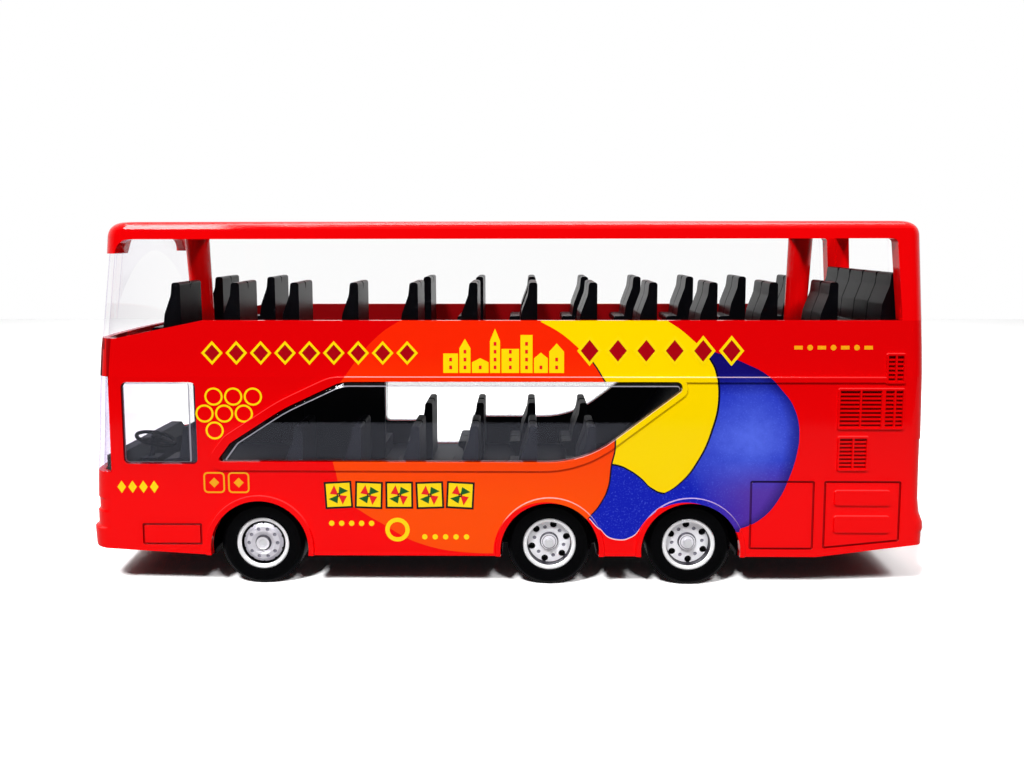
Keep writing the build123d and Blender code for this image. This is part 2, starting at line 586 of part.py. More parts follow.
# Side view of a bench, measured from the foot of its back.
BENCH_OUTLINE = [
    (0, 0, 0), (0, SEAT_HEIGHT, 0.6), (-1.8, SEAT_HEIGHT, 0.6), (-2.1, SEAT_HEIGHT - 2.8, 3.0),
    (-3.6, CUSHION_HEIGHT + 3.0, 1.5), (-4.0, CUSHION_HEIGHT, 0.3), (-SEAT_DEPTH, CUSHION_HEIGHT, 0.6),
    (-SEAT_DEPTH, CUSHION_HEIGHT - 1.3, 0.4), (-SEAT_DEPTH + 1.2, CUSHION_HEIGHT - 2.1, 0.4),
    (-SEAT_DEPTH + 1.4, 0, 0),
]


def make_bench(inner_y, outer_y, seats, rise=0.0):
    """A row of moulded seats at the origin, its back's foot on the Y axis."""
    outline = [(x, z + rise if z > CUSHION_HEIGHT + 1 else z, r) for x, z, r in BENCH_OUTLINE]
    bench = side_prism(outline, inner_y, outer_y)
    seat_width = (outer_y - inner_y) / seats
    notch_width, notch_depth = SEAT_NOTCH
    top = SEAT_HEIGHT + rise
    for index in range(1, seats):
        y = inner_y + index * seat_width
        slab = side_prism(outline, y - SEAT_GROOVE / 2, y + SEAT_GROOVE / 2)
        bench -= slab - Pos(SEAT_GROOVE, 0, -SEAT_GROOVE) * slab
        notch = sharp([(y - notch_width / 2, top + 0.1), (y, top - notch_depth), (y + notch_width / 2, top + 0.1)])
        bench -= end_prism(notch, -SEAT_DEPTH, SEAT_DEPTH)
    return bench


def bench_row(rows, side, floor):
    bench = make_bench(BENCH_INNER_Y, BENCH_OUTER_Y, 2)
    if side == LEFT:
        bench = mirror(bench, Plane.XZ)
    return Compound(children=[Pos(SEAT_FIRST_X + row * SEAT_PITCH, 0, floor) * bench for row in rows])


def inside_plan(inset, z0, z1, section):
    """A straight prism that stands clear of the inside of the walls."""
    return extrude(plan_face(z0, *section[1:], WALL + inset), z1 - z0, dir=(0, 0, 1))


def make_upper_deck():
    deck = inside_plan(DECK_CLEARANCE, UPPER_FLOOR_BOTTOM, UPPER_FLOOR_TOP, CORE_SECTIONS[-1])
    x0, x1, y0, y1 = STAIR_WELL
    return deck - box(x0, x1, y0, y1, 0, FAR)


def make_lower_deck():
    deck = inside_plan(DECK_CLEARANCE, LOWER_FLOOR_TOP - FLOOR, LOWER_FLOOR_TOP, CORE_SECTIONS[1])
    foot_x, head_x, rear_x, height, half = BULKHEAD
    bulkhead = sharp([(foot_x, LOWER_FLOOR_TOP), (head_x, height), (rear_x, height), (rear_x, LOWER_FLOOR_TOP)])
    return deck + side_prism(bulkhead, -half, half)


def make_staircase():
    top = UPPER_FLOOR_BOTTOM - DECK_CLEARANCE
    rise = (top - LOWER_FLOOR_TOP) / STEPS
    run = (STAIR_FOOT_X - STAIR_TOP_X) / STEPS
    points = [(STAIR_FOOT_X, LOWER_FLOOR_TOP)]
    for step in range(STEPS):
        x = STAIR_FOOT_X - step * run
        points += [(x, LOWER_FLOOR_TOP + (step + 1) * rise), (x - run, LOWER_FLOOR_TOP + (step + 1) * rise)]
    points.append((STAIR_TOP_X, LOWER_FLOOR_TOP))
    steps = side_prism(sharp(points), BENCH_INNER_Y + STAIR_PANEL, BENCH_OUTER_Y)
    panel = box(STAIR_TOP_X, STAIR_FOOT_X, BENCH_INNER_Y, BENCH_INNER_Y + STAIR_PANEL, LOWER_FLOOR_TOP, top)
    return steps + panel


def make_dashboard():
    outline = [(0, LOWER_FLOOR_TOP), (0, 29.0), (2.6, 29.0), (4.4, 26.5), (3.8, LOWER_FLOOR_TOP)]
    dash = Pos(DASH_FRONT_X, 0, 0) * side_prism(sharp(outline), *DASH_SIDES)
    x, y, z = WHEEL_CENTRE
    column = Pos(x, y, z) * Rot(0, STEERING_TILT, 0) * Pos(0, 0, -COLUMN_RADIUS) * Cylinder(
        COLUMN_RADIUS, z - LOWER_FLOOR_TOP, align=(Align.CENTER, Align.CENTER, Align.MAX))
    pod = box(x - 3, x + 1, y - 2, y + 2, LOWER_FLOOR_TOP, z - 4)
    return dash + (column & box(-FAR, 0, -FAR, FAR, LOWER_FLOOR_TOP, FAR)) + pod


def make_steering_wheel():
    x, y, z = WHEEL_CENTRE
    section = Plane.XZ * Pos(STEERING_RADIUS, 0) * RegularPolygon(STEERING_RIM, 8)
    wheel = revolve(section, Axis.Z)
    for angle in (0, 120, 240):
        wheel += Rot(0, 0, angle) * Pos(STEERING_RADIUS / 2, 0, 0) * Box(STEERING_RADIUS, 0.9, 0.5)
    wheel += Cylinder(1.2, 2 * COLUMN_RADIUS)
    return Pos(x, y, z) * Rot(0, STEERING_TILT, 0) * wheel


def make_driver_seat():
    outline = [(0, 0, 0), (0.8, 13.2, 0.6), (-0.9, 13.4, 0.6), (-2.0, 6.0, 1.0), (-6.0, 5.6, 0.8),
               (-5.8, 4.2, 0.4), (-4.0, 3.4, 0.4), (-4.0, 0, 0)]
    x, y0, y1 = DRIVER_SEAT
    return Pos(x, 0, LOWER_FLOOR_TOP) * wall_prism(outline, LEFT, y0, y1)


TYRE_OUTER_Y = INNER - TYRE_GAP
POCKET_Y = TYRE_OUTER_Y - TYRE_WIDTH - WHEEL_POCKET


def make_chassis():
    front_x, front_end, front_z = FRONT_OVERHANG_BOTTOM
    rear_x, rear_end, rear_z = REAR_OVERHANG_BOTTOM
    drop = BODY_BOTTOM - PLATE_BOTTOM
    low = [(-FAR, front_z - drop), (front_end, front_z - drop), (front_x, PLATE_BOTTOM),
           (rear_x, PLATE_BOTTOM), (rear_end, rear_z - drop), (FAR, rear_z - drop)]
    high = [(x, z + PLATE) for x, z in reversed(low)]
    plate = side_prism(sharp(low + high), -FAR, FAR)
    for x0, x1, half, corner in UNDER_COVERS:
        cover = [(x, y, corner) for x, y in ((x0, -half), (x1, -half), (x1, half), (x0, half))]
        block = extrude(rounded(cover), FAR / 2, dir=(0, 0, 1))
        plate += block & side_prism(sharp([(x, z - COVER_RELIEF) for x, z in low] + high), -FAR, FAR)
    plate &= inside_plan(PLATE_CLEARANCE, 0, LOWER_FLOOR_TOP, CORE_SECTIONS[0])
    length, reach = BEARING
    pocket = TYRE_RADIUS + 2 * WHEEL_POCKET
    for x in AXLE_X.values():
        for side in (LEFT, RIGHT):
            y0, y1 = sorted((side * POCKET_Y, side * FAR))
            plate -= box(x - pocket, x + pocket, y0, y1, 0, FAR)
            y0, y1 = sorted((side * (POCKET_Y - length), side * POCKET_Y))
            plate += box(x - reach, x + reach, y0, y1, PLATE_BOTTOM + 0.2, TYRE_RADIUS + reach)
        plate -= Pos(x, 0, TYRE_RADIUS) * Rot(90, 0, 0) * Cylinder(AXLE_RADIUS + AXLE_CLEARANCE, 2 * INNER)
    boss_foot = PLATE_BOTTOM + PLATE / 2
    height = LOWER_FLOOR_TOP - FLOOR - DECK_CLEARANCE - boss_foot
    for top_x, foot_x in POSTS.values():
        plate += Pos(foot_x, 0, boss_foot) * Cylinder(
            BOSS_RADIUS, height, align=(Align.CENTER, Align.CENTER, Align.MIN))
    return plate


def make_tyre():
    """A tyre about the Y axis, its outer side at y = 0 and its inner side at y = TYRE_WIDTH."""
    bore = RIM_RADIUS + RIM_FIT
    outline = [(bore, 0), (TYRE_RADIUS - TYRE_SHOULDER, 0), (TYRE_RADIUS, TYRE_SHOULDER),
               (TYRE_RADIUS, TYRE_WIDTH), (bore, TYRE_WIDTH)]
    return revolve(rounded(sharp(outline)), Axis.Y)


RIM_BACK = 0.6                  # the rims end this far inside the tyres' inner sides
# Faces of the rims from the axle outwards: radius, and depth below the tyre's outer side.
DOMED_FACE = [(1.1, 0.15), (1.46, 0.05), (1.75, 0.65), (2.6, 0.35), (3.7, 0.5), (4.45, 1.0), (4.5, 2.2), (4.8, 2.2)]
DISHED_FACE = [(1.5, 1.7), (1.85, 1.7), (2.05, 2.3), (3.4, 2.1), (4.85, 2.1), (4.9, 0.9)]
RIM_EDGE = [(4.95, 0.6), (5.3, 0.4), (5.7, 0.35), (RIM_RADIUS, 0.45)]
# Round holes in the rims: how many, on which radius, their own radius, from which depth, to which depth, first angle.
DOMED_HOLES = [(10, 3.2, 0.42, 0.0, 0.7, 0.0), (10, 4.5, 0.3, 0.0, 1.5, 18.0)]
RIMS = {"front": (DOMED_FACE, DOMED_HOLES)}
for name, first in (("middle", 16.0), ("rear", 34.0)):
    RIMS[name] = (DISHED_FACE, [(6, 4.03, 0.78, 1.0, 3.8, first), (6, 3.38, 0.43, 1.0, 2.45, first + 30)])


def make_rim(kind):
    """A rim about the Y axis, its outer side at y = 0."""
    face, holes = RIMS[kind]
    bore = AXLE_RADIUS + RIM_FIT
    back = TYRE_WIDTH - RIM_BACK
    outline = [(bore, face[0][1])] + face + RIM_EDGE + [
        (RIM_RADIUS, back), (4.9, back), (4.6, 4.2), (2.0, 4.2), (2.0, TYRE_WIDTH), (bore, TYRE_WIDTH)]
    rim = revolve(rounded(sharp(outline)), Axis.Y)
    cuts = []
    for count, circle, radius, start, end, first in holes:
        for index in range(count):
            angle = radians(first + 360 / count * index)
            cuts.append(Pos(circle * cos(angle), (start + end) / 2, circle * sin(angle)) * Rot(90, 0, 0) * Cylinder(
                radius, end - start))
    return rim - cuts


def wheel_pair(part, x):
    left = Pos(x, -TYRE_OUTER_Y, TYRE_RADIUS) * part
    right = Pos(x, TYRE_OUTER_Y, TYRE_RADIUS) * Rot(0, 0, 180) * part
    return Compound(children=[left, right])


def make_axle(x):
    return Pos(x, 0, TYRE_RADIUS) * Rot(90, 0, 0) * Cylinder(AXLE_RADIUS, 2 * (TYRE_OUTER_Y - AXLE_SETBACK))


NODES = {
    "body_shell": make_body_shell(),
    "roof_frame": make_roof_frame(),
    "roof_posts": make_roof_posts(),
    "upper_glazing": make_upper_glazing(),
    "windscreen": make_windscreen(),
    "upper_deck": make_upper_deck(),
    "upper_seats_left": bench_row(range(SEAT_ROWS), LEFT, UPPER_FLOOR_TOP),
    "upper_seats_right": bench_row([row for row in range(SEAT_ROWS) if row not in STAIR_ROWS], RIGHT, UPPER_FLOOR_TOP),
    "upper_rear_bench": Pos(REAR_BENCH_X, 0, UPPER_FLOOR_TOP) * make_bench(
        -BENCH_OUTER_Y, BENCH_OUTER_Y, 5, REAR_BENCH_RISE),
    "lower_deck": make_lower_deck(),
    "lower_seats_left": bench_row(LOWER_LEFT_ROWS, LEFT, LOWER_FLOOR_TOP),
    "lower_seats_right": bench_row(LOWER_RIGHT_ROWS, RIGHT, LOWER_FLOOR_TOP),
    "staircase": make_staircase(),
    "dashboard": make_dashboard(),
    "steering_wheel": make_steering_wheel(),
    "driver_seat": make_driver_seat(),
    "chassis": make_chassis(),
    "head_lamps": make_lamps(HEAD_LAMPS, FRONT),
    "tail_lamps": make_lamps(TAIL_LAMPS, REAR),
}
for name, (side, outline, bevel, _) in WINDOWS.items():
    NODES[name] = make_window(side, outline, bevel)
for name, x in AXLE_X.items():
    NODES[name + "_axle"] = make_axle(x)
    NODES[name + "_rims"] = wheel_pair(make_rim(name), x)
    NODES[name + "_tyres"] = wheel_pair(make_tyre(), x)

for name, shape in NODES.items():
    export_step(shape, "parts/" + name + ".step")
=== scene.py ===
"""A die-cast toy bus: an open-top, three-axle double-decker in red, with printed colour fields,
clear windows and two decks of seats.

Metres, in the frame of the solids: +Z up, the front along -X, the left side at -Y. Places in
materials and prints are in millimetres, X from the middle of the bus and Z from the ground.
"""

from math import cos, pi, radians, sin, sqrt

import bpy
from mathutils import Matrix, Vector


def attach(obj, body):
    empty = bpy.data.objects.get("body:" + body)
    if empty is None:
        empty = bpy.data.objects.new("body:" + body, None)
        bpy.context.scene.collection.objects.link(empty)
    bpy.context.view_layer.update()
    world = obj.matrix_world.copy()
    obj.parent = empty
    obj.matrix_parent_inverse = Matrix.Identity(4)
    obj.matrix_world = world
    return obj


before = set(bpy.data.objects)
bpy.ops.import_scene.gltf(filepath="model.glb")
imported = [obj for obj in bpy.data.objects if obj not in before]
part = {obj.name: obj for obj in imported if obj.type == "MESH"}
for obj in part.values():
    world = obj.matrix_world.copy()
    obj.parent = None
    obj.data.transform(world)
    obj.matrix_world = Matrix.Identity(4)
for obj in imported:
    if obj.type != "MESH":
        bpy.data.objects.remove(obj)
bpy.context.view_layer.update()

# ---------------------------------------------------------------- base plate, axles and tyres
# The base plate is a black ABS moulding that closes the casting from below and carries the axles.
# Each axle is a drawn steel pin with a rim pressed onto each end and a soft tyre round each rim.
MM = 0.001


def linear(hex_colour):
    """An sRGB hex colour as the linear RGBA that a shader reads."""
    channels = [int(hex_colour[i:i + 2], 16) / 255 for i in (0, 2, 4)]
    return [c / 12.92 if c <= 0.04045 else ((c + 0.055) / 1.055) ** 2.4 for c in channels] + [1.0]


def add(tree, kind, *values, inputs=None, out=0, **settings):
    """Adds a node and gives its first output, the output that out names, or the node if out is
    None. The word after a kind is its operation or data type, and settings are its properties.
    Values go to its inputs in order or by name, and another node's output is linked."""
    kind, _, mode = kind.partition(" ")
    whole = kind.startswith(("Geometry", "NodeGroup"))
    new = tree.nodes.new(kind if whole else "ShaderNode" + kind)
    if mode:
        settings["operation" if hasattr(new, "operation") else "data_type"] = mode
    for name, value in settings.items():
        setattr(new, name, value)
    slots = [slot for slot in new.inputs if slot.enabled]
    named = [(new.inputs[name], value) for name, value in (inputs or {}).items()]
    for slot, value in list(zip(slots, values)) + named:
        if isinstance(value, bpy.types.NodeSocket):
            tree.links.new(value, slot)
        else:
            slot.default_value = value
    if out is None:
        return new
    return new.outputs[out] if out else [slot for slot in new.outputs if slot.enabled][0]


def new_material(name):
    """An empty material and its tree, ready for a surface."""
    material = bpy.data.materials.new(name)
    material.use_nodes = True
    material.node_tree.nodes.clear()
    return material, material.node_tree


def finish_material(material, surface):
    add(material.node_tree, "OutputMaterial", surface, out=None)
    return material


def plain(name, hex_colour, roughness, **inputs):
    """A material with one colour and a uniform finish."""
    material, tree = new_material(name)
    values = {"Base Color": linear(hex_colour), "Roughness": roughness}
    values.update({key.replace("_", " "): value for key, value in inputs.items()})
    return finish_material(material, add(tree, "BsdfPrincipled", inputs=values))


def dress(names, material):
    """Gives solids one material."""
    for name in names:
        part[name].data.materials.clear()
        part[name].data.materials.append(material)


# ABS from an etched mould: matt black, with hardly a reflection.
base_plastic = plain("black_base_plastic", "020203", 0.5, Specular_IOR_Level=0.02)
# Soft PVC: dull, and the darkest black on the toy.
tyre_plastic = plain("soft_black_tyre", "020203", 0.55, Specular_IOR_Level=0.03)
# Drawn steel wire: bright, with a soft reflection.
pin_steel = plain("steel_pin", "DCDCE0", 0.4, Metallic=0.5)

AXLES = ("front", "middle", "rear")
dress(["chassis"], base_plastic)
dress([name + "_tyres" for name in AXLES], tyre_plastic)
dress([name + "_axle" for name in AXLES], pin_steel)

# ---------------------------------------------------------------- rims
# The rims are moulded in grey ABS and sprayed silver, with painted shade in their steps, grooves, dimples and holes.
# The front pair is domed, and the middle and rear pairs are dished.
AXLE_X = {"front": -53.9, "middle": 10.1, "rear": 41.0}
AXLE_Z = 9.26
TYRE_SIDE_Y = 22.8              # |Y| of the tyres' outer sides
HUB_SILVER = "ECEAF0"
# Tones from the axle outwards, each from its radius on: silver faces, with dark rings of painted shade at the steps
# and in the groove.
DOMED_RINGS_WITH_SHADE = [(1.46, "4A4850"), (1.8, "D6D4DC"), (3.7, "C2C0CA"), (4.4, "141218"), (4.93, "FCFCFE")]
DISHED_RINGS_WITH_SHADE = [(1.42, "7A7882"), (1.56, "E4E2E8"), (1.84, "4C4A54"), (2.1, "FBFAFF"), (4.72, "3A3840"),
                 (4.95, "FCFCFE")]
# Painted shade in hollows: the depth below the tyre's side where it starts, its inner and outer radius, its shade.
DOMED_RECESS_SHADE = [(0.62, 2.7, 3.8, "8E8C98"), (1.05, 4.0, 4.95, "0A080C")]
DISHED_RECESS_SHADE = [(2.38, 2.9, 3.9, "8A8894"), (2.52, 2.9, 4.85, "050506")]


def both(tree, *masks):
    """1 where every mask is 1."""
    result = masks[0]
    for mask in masks[1:]:
        result = add(tree, "Math MULTIPLY", result, mask)
    return result


def place_in_mm(tree):
    """X, Y and Z of the shaded point in millimetres, in the frame of the bus."""
    scaled = add(tree, "VectorMath SCALE", add(tree, "TexCoord", out="Object"), 1 / MM)
    return add(tree, "SeparateXYZ", scaled, out=None).outputs


def distance_from(tree, x, z, centre):
    """The distance of the shaded point from a point on the side, in millimetres."""
    dx = add(tree, "Math SUBTRACT", x, centre[0])
    dz = add(tree, "Math SUBTRACT", z, centre[1])
    squares = add(tree, "Math ADD", add(tree, "Math MULTIPLY", dx, dx), add(tree, "Math MULTIPLY", dz, dz))
    return add(tree, "Math SQRT", squares)


def silver_rim(name, rings_with_shade, recess_shades):
    """Sprayed silver: half metallic, bright on the faces, with painted shade in its steps and hollows."""
    material, tree = new_material("silver_" + name + "_rims")
    x, y, z = place_in_mm(tree)
    radius = distance_from(tree, x, z, (AXLE_X[name], AXLE_Z))
    depth = add(tree, "Math SUBTRACT", TYRE_SIDE_Y, add(tree, "Math ABSOLUTE", y))
    colour = linear(HUB_SILVER)
    # Silver tones by radius, with dark rings of painted shade at the steps and the groove.
    for start, shade in rings_with_shade:
        colour = add(tree, "Mix RGBA", add(tree, "Math GREATER_THAN", radius, start), colour, linear(shade))
    # Painted shade in the dimples, notches and holes, where the rim lies deep.
    for start, inner, outer, shade in recess_shades:
        in_recess_shade = both(tree, add(tree, "Math GREATER_THAN", radius, inner), add(tree, "Math LESS_THAN", radius, outer),
                      add(tree, "Math GREATER_THAN", depth, start))
        colour = add(tree, "Mix RGBA", in_recess_shade, colour, linear(shade))
    finish = {"Base Color": colour, "Roughness": 0.4, "Metallic": 0.3, "Specular IOR Level": 0.3}
    return finish_material(material, add(tree, "BsdfPrincipled", inputs=finish))


dress(["front_rims"], silver_rim("front", DOMED_RINGS_WITH_SHADE, DOMED_RECESS_SHADE))
dress(["middle_rims"], silver_rim("middle", DISHED_RINGS_WITH_SHADE, DISHED_RECESS_SHADE))
dress(["rear_rims"], silver_rim("rear", DISHED_RINGS_WITH_SHADE, DISHED_RECESS_SHADE))

# ---------------------------------------------------------------- lower deck
# The floor of the lower saloon, its benches, the stair, the dashboard and the driver's seat are
# dark grey ABS mouldings that drop into the casting. They are seen through the side windows.

# Satin ABS: an even dark grey with a faint, wide sheen.
grey_plastic = plain("dark_grey_saloon_plastic", "1B1C24", 0.5, Specular_IOR_Level=0.1)
dress(["lower_deck", "lower_seats_left", "lower_seats_right", "staircase", "dashboard", "driver_seat"], grey_plastic)
dress(["steering_wheel"], base_plastic)

# ---------------------------------------------------------------- body casting and its colour fields
# The body is cast in zinc alloy and enamelled red, glossy from the oven. Orange, yellow and blue
# fields are printed over each side, and their edges are curves in the side's own millimetres.
SIDE_Y = 24.7                   # |Y| of the sides up to the waist
WAIST_Z = 47.2
LEAN = 0.6 / 12.2               # of the sides above the waist, inwards for each mm of height
PRINTED_Y = 23.6                # the print covers what lies further out than this
SKIRT_Z = 7.9
BLUE_TOP = 53.2
RED = linear("E00206")
# painted light: the red low down, lighter as if lit from the paper below
RED_LIT_FROM_BELOW = linear("FA0306")
ORANGE_TOP = linear("FA2604")
ORANGE = linear("FF4E02")
YELLOW = linear("FFD900")
NAVY = linear("140A5C")
BLUE = linear("0C1DB4")
LIGHT_BLUE = linear("5F78F8")
VIOLET = linear("5E3299")
OUTLINE = linear("0A0B20")
SHADE = linear("3A0406")
# painted highlight for the upper slopes of raised lips and bars
EDGE_HIGHLIGHT = linear("FFDCDC")
PINK = linear("F6C4CC")

# Edges of the fields as points that a smooth curve joins. Fronts and rears are (Z, X) ...
ORANGE_FRONT = [(7.9, -5.2), (10.3, -19.1), (14.8, -27.2), (17.1, -31.0), (20.5, -35.2), (26.8, -36.9),
                (40.0, -39.0), (47.4, -34.3), (55.2, -28.1), (59.5, -22.1)]
ORANGE_REAR = [(15.0, 17.2), (16.6, 19.0), (19.1, 21.0), (23.2, 22.8), (28.0, 23.4), (31.3, 24.1),
               (40.0, 24.1), (47.7, 20.9), (54.4, 15.2), (59.1, 8.1)]
YELLOW_REAR = [(21.5, 35.0), (23.6, 38.3), (28.0, 41.9), (35.4, 45.2), (42.7, 46.6), (47.9, 46.0),
               (50.5, 44.9), (56.0, 39.9), (59.2, 35.5)]
BLUE_REAR = [(13.6, 51.6), (16.1, 56.6), (19.7, 59.7), (24.8, 62.1), (31.6, 63.9), (35.4, 64.1), (40.3, 62.9),
             (44.5, 60.0), (47.7, 56.8), (50.1, 52.3), (52.0, 47.5), (53.2, 43.0)]
# ... and bottoms are (X, Z).
YELLOW_BOTTOM = [(23.0, 28.0), (25.0, 27.7), (27.1, 26.8), (30.0, 24.8), (32.5, 22.5), (35.0, 21.5), (47.0, 21.5)]
BLUE_BOTTOM = [(17.0, 17.6), (18.7, 15.9), (21.1, 13.4), (25.6, 10.9), (27.7, 11.4), (29.9, 13.4), (32.5, 16.4),
               (35.5, 18.6), (38.0, 17.0), (41.0, 13.0), (50.0, 13.0)]
ARCH_CENTRES = {"middle": (9.1, 8.2), "rear": (39.9, 8.2)}
ARCH_RADIUS = 11.4              # of the red bands round the wheels

# Shades of the inks. Each range is from where the shade starts to where it is full.
RED_FADE_Z = (20.0, 52.0)
LIGHT_BLUE_CENTRE = (53.0, 0.0, 33.0)
LIGHT_BLUE_RADII = (16.0, 2.0)
CLOUD = 11.11                   # size of the blue's clouds
CLOUD_CONTRAST = 1.3
SPECK = 0.3846                  # of the ink's speckles, three times the real size so that they show
SPECK_RANGE = (0.56, 0.8, 0.0, 0.3)     # of the noise, and the speckles' share from and to
VIOLET_X, VIOLET_Z, VIOLET_SHARE = (42.0, 54.0), (29.0, 22.0), 0.75
NAVY_TOP_Z = (43.0, 48.0, 0.0, 0.9)     # and its share from and to
NAVY_REAR = (3.0, 0.0, 0.0, 0.7)        # inwards from the blue's rear edge, and its share
# Lines between the fields. The rear and low lines lie on both sides of an edge, by half their
# width, and the front and pink lines on one side.
REAR_LINE, REAR_LINE_FOOT_Z = 0.22, 21.4
LOW_LINE, LOW_LINE_END_X = 0.2, 35.2
FRONT_LINE = 0.35
PINK_LINE, PINK_LINE_END_X = 0.28, 31.0
# Painted highlights, on the upper slopes of what is raised.
RAISED_Y = 24.0                 # lips and bars lie further out than this
HIGHLIGHT_RISE = (0.3, 0.62, 0.97)   # upward part of the normal where the painted highlight starts, is full and stops
HIGHLIGHT_TOP_Z = 56.0
HIGHLIGHT_ON_RED, HIGHLIGHT_ON_PRINT = 0.05, 0.45       # share of the painted highlight in bare red and in print
# Shade in seams and slots, between these depths below the side.
SHADE_DEPTHS = (0.12, 0.9)
SHADE_X = (-86.5, 87.6)
SHADE_TOP_Z = 58.5
SHADE_SHARE = 0.58


def curve_through(tree, value, points):
    """A smooth curve through points (value, result)."""
    (low, high), (least, most) = [(min(column), max(column)) for column in zip(*points)]
    curve = add(tree, "FloatCurve", inputs={"Value": add(tree, "MapRange", value, low, high)}, out=None)
    line = curve.mapping.curves[0]
    for index, (place, result) in enumerate(sorted(points)):
        spot = ((place - low) / (high - low), (result - least) / (most - least))
        if index == 0:
            line.points[0].location = spot
        elif index == len(points) - 1:
            line.points[len(line.points) - 1].location = spot
        else:
            line.points.new(*spot)
    curve.mapping.update()
    return add(tree, "MapRange", curve.outputs[0], 0.0, 1.0, least, most)


def blue_ink(tree, x, z, blue_rear):
    """Cloudy blue, light in the middle, with speckles, a violet foot at the rear and navy edges."""
    place = add(tree, "TexCoord", out="Object")
    cloud = add(tree, "TexNoise", inputs={"Vector": place, "Scale": 1 / (CLOUD * MM), "Detail": 6.0,
                                          "Roughness": 0.7})
    spot = add(tree, "CombineXYZ", x, 0.0, z)
    distance = add(tree, "VectorMath DISTANCE", spot, LIGHT_BLUE_CENTRE, out="Value")
    light = both(tree, add(tree, "MapRange", distance, *LIGHT_BLUE_RADII),
                 add(tree, "Math MULTIPLY", cloud, CLOUD_CONTRAST))
    ink = add(tree, "Mix RGBA", light, BLUE, LIGHT_BLUE)
    grain = add(tree, "TexNoise", inputs={"Vector": place, "Scale": 1 / (SPECK * MM), "Detail": 1.0})
    ink = add(tree, "Mix RGBA", add(tree, "MapRange", grain, *SPECK_RANGE), ink, LIGHT_BLUE)
    foot = both(tree, add(tree, "MapRange", x, *VIOLET_X), add(tree, "MapRange", z, *VIOLET_Z), VIOLET_SHARE)
    ink = add(tree, "Mix RGBA", foot, ink, VIOLET)
    ink = add(tree, "Mix RGBA", add(tree, "MapRange", z, *NAVY_TOP_Z), ink, NAVY)
    inwards = add(tree, "Math SUBTRACT", blue_rear, x)
    return add(tree, "Mix RGBA", add(tree, "MapRange", inwards, *NAVY_REAR), ink, NAVY)


def line_along(tree, value, edge, half_width):
    """1 on a line along an edge."""
    off = add(tree, "Math ABSOLUTE", add(tree, "Math SUBTRACT", value, edge))
    return add(tree, "Math LESS_THAN", off, half_width)


